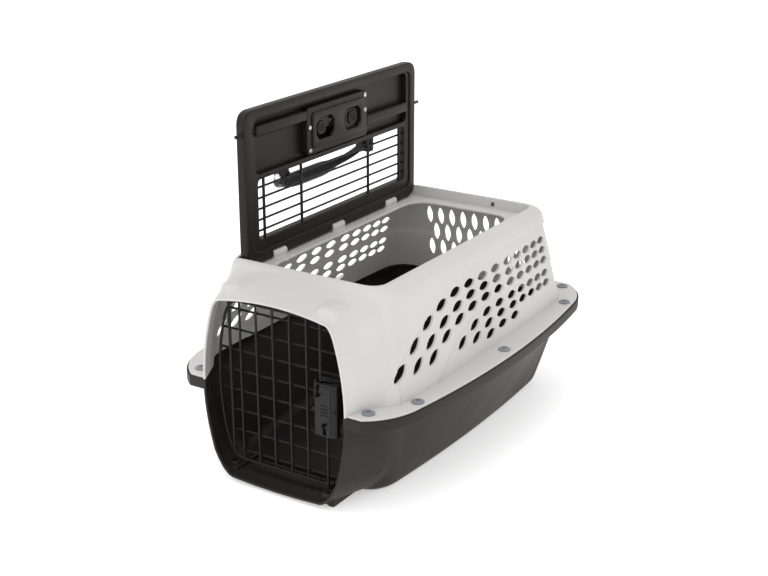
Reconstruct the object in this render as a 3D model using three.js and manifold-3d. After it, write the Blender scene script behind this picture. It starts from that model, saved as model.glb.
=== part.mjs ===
// Two-door pet transport carrier: dark tub, light top shell with a wire front door,
// and a top lid with a wire window, sliding latch rods and a carrying handle.
// Millimetres, +Z up. X is right seen from the front, the front door faces -Y.
// Origin: middle of the flange in plan, on the surface the carrier stands on.
import * as THREE from 'three';
import { mergeVertices } from 'three/addons/utils/BufferGeometryUtils.js';
import Module from 'manifold-3d';

const wasm = await Module();
wasm.setup();

// Overall sizes
const flangeLength = 494;
const flangeWidth = 326;
const shellTop = 238;
const partingHeight = 116;
// Walls and clearances
const wall = 2.5;
const touchGap = 0.3;
const runningGap = 0.5;
// Flange between the two halves
const flangeBow = 15;
const flangeCornerLength = 53;
const flangeCornerWidth = 50;
const flangeThickness = 2.6;
const lipProud = 2.3;
const lipDepth = 12;
const lipSkirt = 2.5;
// Top shell
const shellHalfWidth = flangeWidth / 2 - 27;
const shellHalfLength = flangeLength / 2 - 35;
const shellSideLean = 25.4;
const shellEndLean = 23.2;
const shellSideBow = 5;
const shellCornerRadius = 42;
const shoulderRadius = 9;
// Tub
const tubFloorHalfWidth = flangeWidth / 2 - 58;
const tubTopHalfWidth = flangeWidth / 2 - 6;
const tubFloorFront = -flangeLength / 2 + 55;
const tubTopFront = -flangeLength / 2 + 21;
const tubFloorRear = flangeLength / 2 - 43;
const tubTopRear = flangeLength / 2 - 33;
const tubCornerRadius = 45;
const tubFloorBow = 8;
const tubTopBow = 43;
const tubFlareHeight = 100;
const floorEdgeRadius = 8;
// Front rim, a barrel outline, and the porch that widens behind it
const rimHalfWidth = flangeWidth / 2 - 69.3;
const rimWaistHeight = 114;
const rimTop = shellTop - 16;
const rimBottom = 3;
const rimSideSink = 11.2 / (rimTop - 29 - rimWaistHeight) ** 2;
const archDrop = 7;
const porchWidening = 26.3;
const porchDepth = 55;
const hoodRun = 70;
const hoodDip = 0.6;
const footHalfSpan = tubFloorHalfWidth - 39;
const footWidth = 8;
const footDepth = 34;
// Recess, opening and hinge of the top lid
const recessHalfWidth = flangeWidth / 2 - 73;
const recessHalfLength = flangeLength / 2 - 69;
const hingeSideRoom = 12;
const openingHalfWidth = recessHalfWidth - 20;
const openingHalfLength = recessHalfLength - 18;
const openingCornerRadius = 30;
const hingePitch = 118;
const knuckleLength = 24;
const knuckleRadius = 5;
const hingePinRadius = 2;
const hingePinLength = 38;
// Lid
const lidThickness = 12;
const lidSeatDrop = 1.6;
const lidEndClearance = 2;
const lidFreeClearance = 2;
const lidInnerReach = 3;
const lidCornerRadius = 17;
const lidPanel = 3;
const lidRim = 11;
const windowHalfLength = recessHalfLength - 26;
const windowLow = 26;
const windowTopRoom = 80;
const trayRib = 6;
const trayHalfLength = recessHalfLength - 22;
// Lid latch
const latchBoxHalfLength = 62;
const latchBoxRib = 8;
const latchBoxTopRoom = 17;
const latchRodRadius = 2;
const frontRodTopRoom = 28;
const rodSpread = 30;
const rodTravel = 11;
const rodProud = 9.5;
const rodRoot = 39;
const coverPlate = 2;
const screwRadius = 1.6;
const buttonY = 34;
const buttonHalf = 11;
const buttonHalfHeight = 7;
const springRadius = 2.6;
const springHalf = 11;
// Lid grille
const gridWireRadius = 1.3;
const gridCrossRadius = 1.7;
const gridPitch = 12.5;
const gridEndRoom = 11;
const gridInnerCross = 70;
// Carrying handle
const handleHalfSpan = 80;
const handlePivotDrop = 16;
const handleRise = 33;
const handleDroop = THREE.MathUtils.degToRad(40);
const handleEyeRadius = 6.5;
const handlePinRadius = 2.5;
// Front door
const doorSetBack = 20;
const doorHingeX = 23.7 - rimHalfWidth;
const doorInset = 5;
const doorWireRadius = 1.3;
const doorRimWireRadius = 1.6;
const doorHingeRadius = 1.75;
const doorPitchX = 22;
const doorPitchZ = 23.9;
const doorFirstRow = 31;
const keeperRadius = 2.6;
// Door latch
const doorLatchRodRadius = 1.6;
const doorLatchTravel = 10;
const doorSpringRadius = 1.9;
const doorSpringWire = 0.4;
const doorPinBottom = 11.5;
const upperRodX = rimHalfWidth - 39.7;
const lowerRodX = rimHalfWidth - 31.7;
const housingWidth = 31;
const housingHeight = 60;
const housingLow = 83;
const housingDepth = 10;
// Flange bolts
const boltHeadRadius = 7;
const boltHeadHeight = 2.4;
const boltShankRadius = 2.6;
const nutRadius = 5.5;
const nutHeight = 4;
// Vents
const ventLength = 23;
const ventWidth = 8;
const ventFirstY = 64 - flangeLength / 2;
const ventStep = 31;
const ventEvenColumns = 8;
const ventNarrowStep = 26.4;
const ventStepLoss = 0.9;
const rearVentPitch = 16.7;

// Worked out from the sizes above
const frontY = -flangeLength / 2;
const lipTop = partingHeight - touchGap / 2;
const shellBottom = partingHeight + touchGap / 2;
const flangeTop = shellBottom + flangeThickness;
const recessDepth = lidThickness + lidSeatDrop;
const ledgeTop = shellTop - recessDepth;
const hingeZ = shellTop - (lidThickness - lidInnerReach);
const hingeX = -(recessHalfWidth + 6) + hingeSideRoom;
const lidOuterX = hingeX - (lidThickness - lidInnerReach);
const lidInnerX = hingeX + lidInnerReach;
const lidFoot = hingeZ - lidInnerReach;
const lidWidth = recessHalfWidth - lidFreeClearance - hingeX + lidInnerReach;
const lidHalfLength = recessHalfLength - lidEndClearance;
const windowHigh = lidWidth - windowTopRoom;
const trayLow = windowHigh + trayRib;
const latchBoxLow = windowHigh + latchBoxRib;
const latchBoxHigh = lidWidth - latchBoxTopRoom;
const frontRodReach = lidWidth - frontRodTopRoom;
const rearRodReach = frontRodReach - rodSpread;
const handlePivotReach = windowHigh - handlePivotDrop;
const doorY = frontY + doorSetBack;
const rodOpenX = hingeX - 0.5;
const rodClosedZ = hingeZ + 0.5;
const latchRodY = doorY - 6;
const doorPinTop = rimTop - 1.5;
const housingFront = doorY - 2.2 - housingDepth;
const housingBack = doorY - 2.4;
const housingX = upperRodX - 9;
const upperHookZ = housingLow + 47;
const lowerHookZ = housingLow + 14;
const webZ = housingLow + housingHeight / 2;
const upperRestTip = rimTop - 10;
const lowerRestTip = 19;
const trayHigh = lidWidth - lidRim;
const coverInnerX = lidInnerX - 1.2;
const coverOuterX = coverInnerX + coverPlate;
const handleAxisX = lidOuterX - 7.5;
const handleAxisZ = hingeZ + handlePivotReach;
const sliderBack = lidOuterX + lidPanel + touchGap;
const sliderFront = coverInnerX - touchGap;
const springZ = hingeZ + (frontRodReach + rearRodReach) / 2;
const shellSideDraft = shellSideLean / (shellTop - partingHeight);
const shellEndDraft = shellEndLean / (shellTop - partingHeight);

// Looks of each kind of piece
const finishes = {
  shell: { color: 0xe4e2de, roughness: 0.5, metalness: 0 },
  tub: { color: 0x403b36, roughness: 0.55, metalness: 0 },
  lid: { color: 0x2a2521, roughness: 0.5, metalness: 0 },
  latch: { color: 0x26272a, roughness: 0.5, metalness: 0 },
  wire: { color: 0x121212, roughness: 0.35, metalness: 0.4 },
  steel: { color: 0xa9abae, roughness: 0.3, metalness: 1 },
  bolt: { color: 0x8e96a4, roughness: 0.45, metalness: 0 },
};

function solidFrom(positions, triangles) {
  let volume = 0;
  const corner = (i) => new THREE.Vector3().fromArray(positions, 3 * i);
  for (let i = 0; i < triangles.length; i += 3) {
    const [a, b, c] = [corner(triangles[i]), corner(triangles[i + 1]), corner(triangles[i + 2])];
    volume += a.dot(b.cross(c));
  }
  const turned = volume < 0 ? Array.from(triangles).reverse() : Array.from(triangles);
  return new wasm.Manifold(new wasm.Mesh({
    numProp: 3,
    vertProperties: Float32Array.from(positions),
    triVerts: Uint32Array.from(turned),
  }));
}

function solid(geometry) {
  const bare = geometry.clone();
  bare.deleteAttribute('normal');
  bare.deleteAttribute('uv');
  const merged = mergeVertices(bare, 1e-4);
  return solidFrom(merged.attributes.position.array, merged.index.array);
}

function joined(solids) {
  return solids.reduce((whole, next) => whole.add(next));
}

function cutBy(body, cutters) {
  return cutters.length ? body.subtract(joined(cutters)) : body;
}

function pieceMesh(name, body, finish) {
  const mesh = body.getMesh();
  const geometry = new THREE.BufferGeometry();
  geometry.setAttribute('position', new THREE.BufferAttribute(new Float32Array(mesh.vertProperties), 3));
  geometry.setIndex(new THREE.BufferAttribute(new Uint32Array(mesh.triVerts), 1));
  geometry.computeVertexNormals();
  const piece = new THREE.Mesh(geometry, new THREE.MeshStandardMaterial(finish));
  piece.name = name;
  return piece;
}

function block(x0, x1, y0, y1, z0, z1) {
  const geometry = new THREE.BoxGeometry(x1 - x0, y1 - y0, z1 - z0);
  return solid(geometry.translate((x0 + x1) / 2, (y0 + y1) / 2, (z0 + z1) / 2));
}

// A round bar between two points.
function bar(from, to, radius, sides = 8) {
  const a = new THREE.Vector3(...from);
  const b = new THREE.Vector3(...to);
  const geometry = new THREE.CylinderGeometry(radius, radius, a.distanceTo(b), sides);
  const turn = new THREE.Quaternion().setFromUnitVectors(
    new THREE.Vector3(0, 1, 0),
    b.clone().sub(a).normalize(),
  );
  geometry.applyQuaternion(turn);
  const middle = a.add(b).multiplyScalar(0.5);
  return solid(geometry.translate(middle.x, middle.y, middle.z));
}

function barAlongY(x, y0, y1, z, radius, sides = 8) {
  return bar([x, y0, z], [x, y1, z], radius, sides);
}

function ordered(a, b) {
  return a < b ? [a, b] : [b, a];
}

// A round wire along a smooth curve through the points.
function bentWire(points, radius, steps, sides = 6) {
  const path = new THREE.CatmullRomCurve3(points.map((p) => new THREE.Vector3(...p)), false, 'centripetal');
  const section = new THREE.Shape();
  for (let i = 0; i < sides; i += 1) {
    const angle = (2 * Math.PI * i) / sides;
    section[i ? 'lineTo' : 'moveTo'](radius * Math.cos(angle), radius * Math.sin(angle));
  }
  return solid(new THREE.ExtrudeGeometry(section, { steps, bevelEnabled: false, extrudePath: path }));
}

function bezier(a, control, b, steps, skipEnds = false) {
  const curve = new THREE.QuadraticBezierCurve(
    new THREE.Vector2(...a),
    new THREE.Vector2(...control),
    new THREE.Vector2(...b),
  );
  const points = curve.getPoints(steps).map((p) => [p.x, p.y]);
  return skipEnds ? points.slice(1, -1) : points;
}

// Moves every corner of a closed outline inwards by a distance; the outline runs anticlockwise.
function inset(outline, distance) {
  return outline.map((point, i) => {
    const before = outline[(i + outline.length - 1) % outline.length];
    const after = outline[(i + 1) % outline.length];
    const normal = (p, q) => new THREE.Vector2(p[1] - q[1], q[0] - p[0]).normalize();
    const one = normal(before, point);
    const two = normal(point, after);
    const middle = one.clone().add(two).normalize();
    const reach = distance / Math.max(0.5, middle.dot(one));
    return [point[0] + middle.x * reach, point[1] + middle.y * reach];
  });
}

// A closed solid through rings with equal numbers of points, each ring a list of [x, y, z].
function loft(rings) {
  const count = rings[0].length;
  const positions = rings.flat(2);
  const triangles = [];
  for (let ring = 0; ring + 1 < rings.length; ring += 1) {
    for (let i = 0; i < count; i += 1) {
      const a = ring * count + i;
      const b = ring * count + ((i + 1) % count);
      triangles.push(a, b, b + count, a, b + count, a + count);
    }
  }
  for (const ring of [0, rings.length - 1]) {
    const middle = [0, 1, 2].map((axis) => rings[ring].reduce((sum, p) => sum + p[axis], 0) / count);
    const hub = positions.length / 3;
    positions.push(...middle);
    for (let i = 0; i < count; i += 1) {
      const a = ring * count + i;
      const b = ring * count + ((i + 1) % count);
      triangles.push(...(ring === 0 ? [hub, b, a] : [hub, a, b]));
    }
  }
  return solidFrom(positions, triangles);
}

function prism(outline, z0, z1) {
  return loft([z0, z1].map((z) => outline.map(([x, y]) => [x, y, z])));
}

// A prism whose outline is in Y and Z and which runs along X.
function sidePrism(outline, x0, x1) {
  return loft([x0, x1].map((x) => outline.map(([y, z]) => [x, y, z])));
}

function roundedRectangle(x0, x1, y0, y1, radius, steps = 5) {
  return [
    ...bezierCorner(x1, y0, -radius, radius, steps, true),
    ...bezierCorner(x1, y1, -radius, -radius, steps, false),
    ...bezierCorner(x0, y1, radius, -radius, steps, true),
    ...bezierCorner(x0, y0, radius, radius, steps, false),
  ];
}

// A rounded corner at x, y whose arms reach dx and dy; xFirst says which arm comes first.
function bezierCorner(x, y, dx, dy, steps, xFirst) {
  const first = xFirst ? [x + dx, y] : [x, y + dy];
  const last = xFirst ? [x, y + dy] : [x + dx, y];
  const centre = [x + dx, y + dy];
  const start = Math.atan2(first[1] - centre[1], first[0] - centre[0]);
  let sweep = Math.atan2(last[1] - centre[1], last[0] - centre[0]) - start;
  if (sweep > Math.PI) sweep -= 2 * Math.PI;
  if (sweep < -Math.PI) sweep += 2 * Math.PI;
  return Array.from({ length: steps + 1 }, (_, i) => {
    const angle = start + (sweep * i) / steps;
    return [centre[0] + Math.abs(dx) * Math.cos(angle), centre[1] + Math.abs(dy) * Math.sin(angle)];
  });
}

// A plan outline with bowed sides and round corners, anticlockwise, always the same point count.
function barrelPlan(halfWidth, yFront, yRear, bow, radius) {
  const middle = (yFront + yRear) / 2;
  const half = (yRear - yFront) / 2;
  const sideX = (y) => halfWidth - bow * ((y - middle) / half) ** 2;
  const right = [];
  const sideSteps = 4;
  const cornerSteps = 4;
  const low = yFront + radius;
  const high = yRear - radius;
  const lowX = sideX(low);
  const highX = sideX(high);
  right.push(...bezier([lowX - radius, yFront], [lowX, yFront], [lowX, low], cornerSteps));
  for (let i = 1; i < sideSteps; i += 1) {
    const y = low + ((high - low) * i) / sideSteps;
    right.push([sideX(y), y]);
  }
  right.push(...bezier([highX, high], [highX, yRear], [highX - radius, yRear], cornerSteps));
  const left = right.map(([x, y]) => [-x, y]).reverse();
  return [...right, ...left];
}

// Plan of the base lip; the shell's flange is the same outline moved in.
function flangeOutline() {
  const half = flangeWidth / 2;
  const sideEnd = flangeLength / 2 - flangeCornerLength;
  const steps = 8;
  const right = [];
  const corner = bezier(
    [half - flangeBow, sideEnd],
    [half - flangeBow - 8, flangeLength / 2 - 17],
    [half - flangeCornerWidth, flangeLength / 2],
    5,
  );
  right.push(...corner.map(([x, y]) => [x, -y]).reverse());
  for (let i = 1; i < steps; i += 1) {
    const y = -sideEnd + (2 * sideEnd * i) / steps;
    right.push([half - flangeBow * (y / sideEnd) ** 2, y]);
  }
  right.push(...corner);
  return [...right, ...right.map(([x, y]) => [-x, y]).reverse()];
}

// The shell's outer plan at a height above the flange.
function shellPlan(z, extraInset = 0) {
  const rise = z - partingHeight;
  const halfLength = shellHalfLength - shellEndDraft * rise;
  const halfWidth = shellHalfWidth - shellSideDraft * rise;
  const radius = shellCornerRadius - 0.06 * rise;
  return inset(barrelPlan(halfWidth, -halfLength, halfLength, shellSideBow, radius), extraInset);
}

function tubPlan(z, extraInset = 0) {
  const share = Math.min(1, z / tubFlareHeight);
  const mix = (low, high) => low + (high - low) * share;
  return inset(
    barrelPlan(
      mix(tubFloorHalfWidth, tubTopHalfWidth),
      mix(tubFloorFront, tubTopFront),
      mix(tubFloorRear, tubTopRear),
      mix(tubFloorBow, tubTopBow),
      tubCornerRadius - 4 * share,
    ),
    extraInset,
  );
}

// The porch's section at a distance behind the rim, in X and Z, anticlockwise from the bottom.
function porchSection(y, extraInset = 0) {
  const back = y - frontY;
  const flare = (porchWidening * Math.min(back, porchDepth)) / porchDepth;
  const widening = flare + 0.1 * Math.max(0, back - porchDepth);
  const stretch = (rimHalfWidth + widening) / rimHalfWidth;
  const top = rimTop + (shellTop - hoodDip - rimTop) * Math.min(1, back / hoodRun);
  const sideX = (z) => (rimHalfWidth - rimSideSink * (z - rimWaistHeight) ** 2) * stretch;
  const sideLow = 34;
  const sideHigh = rimTop - 29;
  const bottomTurn = rimHalfWidth * 0.62 * stretch;
  const cornerTop = [rimHalfWidth * 0.73 * stretch, top - archDrop];
  const cornerOut = [sideX(sideHigh + 14) * 0.985, top - archDrop - 1];
  const right = [
    [0.3 * rimHalfWidth * stretch, rimBottom + 0.5],
    ...bezier([bottomTurn, rimBottom + 2], [sideX(8) * 0.965, 8], [sideX(sideLow), sideLow], 4),
    [sideX(65), 65],
    [sideX(92), 92],
    [sideX(rimWaistHeight), rimWaistHeight],
    [sideX(140), 140],
    [sideX(168), 168],
    ...bezier([sideX(sideHigh), sideHigh], cornerOut, cornerTop, 4),
    [cornerTop[0] * 0.66, top - archDrop * 0.44],
    [cornerTop[0] * 0.33, top - archDrop * 0.11],
  ];
  const outline = [...right, [0, top], ...right.map(([x, z]) => [-x, z]).reverse(), [0, rimBottom]];
  return inset(outline, extraInset).map(([x, z]) => [x, y, z]);
}

function porchSolid(from, to, extraInset) {
  const stations = [from, frontY + 18, frontY + 36, frontY + porchDepth, frontY + hoodRun, to];
  return loft(stations.map((y) => porchSection(y, extraInset)));
}

function above(z) {
  return block(-flangeWidth, flangeWidth, -flangeLength, flangeLength, z, 2 * shellTop);
}

function below(z) {
  return block(-flangeWidth, flangeWidth, -flangeLength, flangeLength, -shellTop, z);
}

// Two bolts at each corner and one in the middle of each side.
function boltPlaces() {
  const [halfWidth, halfLength] = [flangeWidth / 2, flangeLength / 2];
  const corners = [[halfWidth - 52, halfLength - 18], [halfWidth - 24, halfLength - 70]];
  const right = [...corners.flatMap(([x, y]) => [[x, -y], [x, y]]), [halfWidth - 15, 0]];
  return [...right, ...right.map(([x, y]) => [-x, y])];
}

// Top shell

function ventLeaf(length, width) {
  const halfLength = length / 2;
  const halfWidth = width / 2;
  return [[-halfLength, 0], [-halfLength * 0.45, -halfWidth], [halfLength * 0.45, -halfWidth],
    [halfLength, 0], [halfLength * 0.45, halfWidth], [-halfLength * 0.45, halfWidth]];
}

// Rows of side vents: each runs level towards the rear and curves down over its first stretch.
const ventRows = [
  { height: 202, bend: 143, sink: 0.0026, first: 0, last: 12 },
  { height: 190, bend: 173, sink: 0.0021, first: 1, last: 12 },
  { height: 177.5, bend: 183, sink: 0.0021, first: 2, last: 12 },
  { height: 161, bend: 208, sink: 0.0026, first: 4, last: 12 },
  { height: 149, bend: 218, sink: 0.0026, first: 5, last: 12 },
  { height: 136, bend: 218, sink: 0.0026, first: 6, last: 8 },
];

// Columns are evenly spaced up to the ninth and close up towards the rear after it.
function ventColumnY(column) {
  const past = Math.max(0, column - ventEvenColumns);
  return ventFirstY + ventStep * (column - past) + (ventNarrowStep - ventStepLoss * past) * past;
}

function sideVents(side) {
  const cutters = [];
  for (const row of ventRows) {
    for (let column = row.first; column <= row.last; column += 1) {
      const y = ventColumnY(column);
      const before = Math.max(0, ventFirstY + row.bend - y);
      const z = row.height - row.sink * before * before;
      const slope = Math.atan(2 * row.sink * before);
      const size = 1 - 0.02 * column;
      const width = ventWidth * (1 - 0.012 * column);
      const leaf = ventLeaf(ventLength * size, width).map(([along, across]) => [
        y + along * Math.cos(slope) - across * Math.sin(slope),
        z + along * Math.sin(slope) + across * Math.cos(slope),
      ]);
      const near = shellHalfWidth - shellSideDraft * (z - partingHeight) - 22;
      cutters.push(sidePrism(leaf, side * near, side * (shellHalfWidth + 10)));
    }
  }
  return cutters;
}

function rearVents() {
  const most = Math.floor((2 * (shellHalfWidth - 61)) / rearVentPitch) + 1;
  const rows = [{ z: 197, count: most }, { z: 174, count: most - 1 }, { z: 151, count: most }];
  return rows.flatMap(({ z, count }) => Array.from({ length: count }, (_, i) => {
    const x = (i - (count - 1) / 2) * rearVentPitch;
    const leaf = ventLeaf(ventLength, ventWidth).map(([along, across]) => [x + across, z + along]);
    return prismAlongY(leaf, shellHalfLength - 40, shellHalfLength + 10);
  }));
}

function shellForm(extraInset, top) {
  const rings = [shellBottom - 1, top - shoulderRadius].map((z) => {
    return shellPlan(z, extraInset).map(([x, y]) => [x, y, z]);
  });
  for (const angle of [30, 60, 90].map(THREE.MathUtils.degToRad)) {
    const z = top - shoulderRadius * (1 - Math.sin(angle));
    const roundIn = shoulderRadius * (1 - Math.cos(angle));
    rings.push(shellPlan(z, extraInset + roundIn).map(([x, y]) => [x, y, z]));
  }
  return loft(rings);
}

// The lid's seat: round corners on the free side, square ones where the open lid stands.
function recessBlock(grow, low) {
  const farX = hingeX - hingeSideRoom - grow;
  const half = recessHalfLength + grow;
  const radius = lidCornerRadius + lidFreeClearance + grow;
  const outline = roundedRectangle(farX, recessHalfWidth + grow, -half, half, radius);
  const squareSide = block(farX, hingeX + radius, -half, half, low, shellTop + 1);
  return prism(outline, low, shellTop + 1).add(squareSide);
}

// Low pads on the hood hold the upper ends of the door's hinge rod and latch rod.
function hoodPads() {
  return [doorHingeX, upperRodX].map((x) => {
    const y = x === upperRodX ? latchRodY : doorY;
    return block(x - 13, x + 13, y - 9, y + 15, rimTop - 7, rimTop + 5);
  });
}

function topShell() {
  const outer = shellForm(0, shellTop)
    .add(porchSolid(frontY, frontY + 90, 0))
    .add(prism(inset(flangeOutline(), lipProud), shellBottom - 1, flangeTop))
    .add(joined(hoodPads()))
    .intersect(above(shellBottom));
  const recessShell = recessBlock(wall, ledgeTop - wall);
  const hollow = shellForm(wall, shellTop - wall)
    .add(porchSolid(frontY - 4, frontY + 90, wall))
    .subtract(recessShell);
  const recess = recessBlock(0, ledgeTop);
  const [openX, openY] = [openingHalfWidth, openingHalfLength];
  const openingOutline = roundedRectangle(-openX, openX, -openY, openY, openingCornerRadius);
  const opening = prism(openingOutline, ledgeTop - 2 * wall, ledgeTop + 1);
  const knuckles = [-hingePitch, 0, hingePitch].map((y) => {
    const half = knuckleLength / 2;
    const barrel = barAlongY(hingeX, y - half, y + half, hingeZ, knuckleRadius, 12);
    const foot = block(hingeX - 4.2, hingeX + 4.2, y - half, y + half, ledgeTop - 1, hingeZ);
    const bore = barAlongY(hingeX, y - half - 1, y + half + 1, hingeZ, hingePinRadius + touchGap, 12);
    return barrel.add(foot).subtract(bore);
  });
  const keepers = [
    bar([doorHingeX, doorY, rimTop - 32], [doorHingeX, doorY, doorPinTop + 3], keeperRadius, 10),
    bar([upperRodX, latchRodY, rimTop - 32], [upperRodX, latchRodY, rimTop + 2.5], keeperRadius, 10),
  ];
  const body = cutBy(outer.subtract(hollow), [
    recess, opening, ...keepers, ...rodNotches(), ...boltHoles(),
    ...sideVents(1), ...sideVents(-1), ...rearVents(),
  ]);
  return body.add(joined(knuckles));
}

// The lid's rods drop into open-topped notches in the recess's end walls.
function rodNotches() {
  return [[frontRodReach, -1], [rearRodReach, 1]].map(([reach, end]) => {
    const x = hingeX + reach;
    const half = latchRodRadius + runningGap;
    const [y0, y1] = ordered(end * (recessHalfLength - 3), end * (recessHalfLength + rodProud + 1));
    return block(x - half, x + half, y0, y1, rodClosedZ - half, shellTop + 1);
  });
}

function boltHoles() {
  return boltPlaces().map(([x, y]) => {
    return bar([x, y, partingHeight - 20], [x, y, flangeTop + 1], boltShankRadius + touchGap, 8);
  });
}

// Base tub

function tubForm(extraInset, low, high) {
  const rings = [];
  if (extraInset === 0) {
    rings.push([low, floorEdgeRadius], [low + 2.4, 2.4]);
  } else {
    rings.push([low, extraInset + floorEdgeRadius * 0.8]);
  }
  rings.push([floorEdgeRadius, extraInset], [tubFlareHeight, extraInset], [high, extraInset]);
  return loft(rings.map(([z, moved]) => tubPlan(z, moved).map(([x, y]) => [x, y, z])));
}

function baseTub() {
  const outline = flangeOutline();
  const lip = prism(outline, partingHeight - lipDepth, lipTop + 1)
    .subtract(prism(inset(outline, lipSkirt), partingHeight - lipDepth - 1, lipTop - wall));
  const feet = [-1, 1].map((side) => {
    const x = side * footHalfSpan;
    return block(x - footWidth / 2, x + footWidth / 2, frontY + 16, frontY + 16 + footDepth, 0, 12);
  });
  const walls = tubForm(0, 0, lipTop + 1).add(porchSolid(frontY, frontY + 90, 0));
  const opening = prism(shellPlan(partingHeight, wall), lipTop - wall - 1, lipTop + 2)
    .intersect(tubForm(wall, wall, lipTop + 3));
  const hollow = tubForm(wall, wall, lipTop - wall)
    .add(opening)
    .add(porchSolid(frontY - 4, frontY + 90, wall));
  const bosses = [[doorHingeX, doorY], [lowerRodX, latchRodY]].map(([x, y]) => {
    return block(x - 6, x + 6, y - 6, y + 6, rimBottom + 1, 16);
  });
  const sill = rimHalfWidth - 35.7;
  const threshold = block(-sill, sill, doorY + 12, doorY + 15, rimBottom + 1, 15);
  const sockets = [
    bar([doorHingeX, doorY, 10], [doorHingeX, doorY, 20], keeperRadius, 10),
    bar([lowerRodX, latchRodY, 8.6], [lowerRodX, latchRodY, 20], keeperRadius, 10),
  ];
  const body = walls.add(lip).intersect(below(lipTop)).subtract(hollow)
    .add(joined([...feet, ...bosses, threshold]));
  return cutBy(body, [...sockets, ...boltHoles()]);
}

// Flange bolts and nuts

function flangeBolt(x, y) {
  const underHead = flangeTop + touchGap;
  const tip = lipTop - wall - touchGap - nutHeight - 2;
  const head = new THREE.LatheGeometry([
    new THREE.Vector2(0, 0),
    new THREE.Vector2(boltHeadRadius, 0),
    new THREE.Vector2(boltHeadRadius, boltHeadHeight * 0.45),
    new THREE.Vector2(boltHeadRadius * 0.75, boltHeadHeight * 0.9),
    new THREE.Vector2(0, boltHeadHeight),
  ], 10);
  head.rotateX(Math.PI / 2).translate(x, y, underHead);
  return solid(head).add(bar([x, y, tip], [x, y, underHead + 0.5], boltShankRadius, 8));
}

function flangeNut(x, y) {
  const top = lipTop - wall - touchGap;
  return bar([x, y, top - nutHeight], [x, y, top], nutRadius, 6)
    .subtract(bar([x, y, top - nutHeight - 1], [x, y, top + 1], boltShankRadius + touchGap, 8));
}

// Front door

// Half width of the door at a height: inside the rim's outline.
function doorHalfWidthAt(z) {
  return (rimHalfWidth - rimSideSink * (z - rimWaistHeight) ** 2) - wall - doorInset;
}

function doorGrille() {
  const wireY = doorY;
  const railY = wireY + doorRimWireRadius + doorWireRadius - 0.4;
  const low = doorFirstRow - doorPitchZ / 2 + 2;
  const high = rimTop - 13.5;
  const half = doorHalfWidthAt(rimWaistHeight);
  const loops = [-1, 1].map((side) => {
    const curve = [
      [side * half * -0.07, wireY, low],
      [side * half * 0.35, wireY, low],
      [side * half * 0.7, wireY, low + 1],
      [side * doorHalfWidthAt(low + 12) * 0.955, wireY, low + 10],
      [side * doorHalfWidthAt(45), wireY, 45],
      [side * doorHalfWidthAt(75), wireY, 75],
      [side * doorHalfWidthAt(rimWaistHeight), wireY, rimWaistHeight],
      [side * doorHalfWidthAt(high - 53.5), wireY, high - 53.5],
      [side * doorHalfWidthAt(high - 20.5), wireY, high - 20.5],
      [side * doorHalfWidthAt(high - 6.5) * 0.96, wireY, high - 7],
      [side * half * 0.7, wireY, high - 0.5],
      [side * half * 0.35, wireY, high],
      [side * half * -0.07, wireY, high],
    ];
    return bentWire(curve, doorRimWireRadius, 40);
  });
  const wires = [];
  for (let x = doorHingeX + 14; x < upperRodX - 20; x += doorPitchX) {
    wires.push(bar([x, wireY, low], [x, wireY, high], doorWireRadius, 6));
  }
  for (let z = doorFirstRow; z < high; z += doorPitchZ) {
    const reach = doorHalfWidthAt(z) + 0.8;
    wires.push(bar([-reach, railY, z], [reach, railY, z], doorWireRadius, 6));
  }
  const [pinLow, pinHigh] = [doorPinBottom, doorPinTop].map((z) => [doorHingeX, wireY, z]);
  const pivot = bar(pinLow, pinHigh, doorHingeRadius, 8);
  return joined([...loops, ...wires, pivot]);
}

function doorLatchHousing() {
  const farX = housingX + housingWidth;
  const top = housingLow + housingHeight;
  const skin = 2;
  const body = block(housingX, farX, housingFront, housingBack, housingLow, top);
  const hollow = block(
    housingX + skin, farX - skin, housingFront + skin, housingBack + 1, housingLow + skin, top - skin,
  );
  const slotHalf = doorLatchRodRadius + runningGap;
  const slot = (x, y0, z0, z1) => block(x - slotHalf, x + slotHalf, y0, housingBack, z0, z1);
  const slots = [
    slot(upperRodX, housingFront - 1, upperHookZ - slotHalf, upperHookZ + doorLatchTravel + slotHalf),
    slot(lowerRodX, housingFront - 1, lowerHookZ - doorLatchTravel - slotHalf, lowerHookZ + slotHalf),
    slot(upperRodX, latchRodY - slotHalf, upperHookZ, top + 1),
    slot(lowerRodX, latchRodY - slotHalf, housingLow - 1, lowerHookZ),
  ];
  const web = block(housingX + 1, farX - 1, housingFront + 1, housingBack, webZ - 1, webZ + 1);
  return cutBy(body, [hollow, ...slots]).add(web);
}

function doorLatchPlate() {
  const front = doorY + 4.6;
  return prismAlongY(
    roundedRectangle(housingX, housingX + housingWidth, housingLow, housingLow + housingHeight, 4, 3),
    front,
    front + 2.4,
  );
}

function prismAlongY(outline, y0, y1) {
  return loft([y0, y1].map((y) => outline.map(([x, z]) => [x, y, z])));
}

// A latch rod with its finger hook, in its drawn-back place.
function doorLatchRod(x, tip, hookZ) {
  const hookTip = [x, housingFront - 6, hookZ];
  const stem = bar([x, latchRodY, tip], [x, latchRodY, hookZ], doorLatchRodRadius, 8);
  return stem
    .add(bar([x, latchRodY + doorLatchRodRadius * 0.7, hookZ], hookTip, doorLatchRodRadius, 8));
}

// A return spring between the housing's middle web and a rod's hook; end is 1 above, -1 below.
function doorLatchSpring(x, end, hookZ) {
  const near = webZ + end * (1 + touchGap + doorSpringWire);
  const far = hookZ - end * (doorLatchRodRadius + touchGap + doorSpringWire);
  return helixSpring([x, latchRodY, near], far - near, doorSpringRadius, doorSpringWire, 4, 'z');
}

// Top lid, drawn open, standing on its hinge

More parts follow.
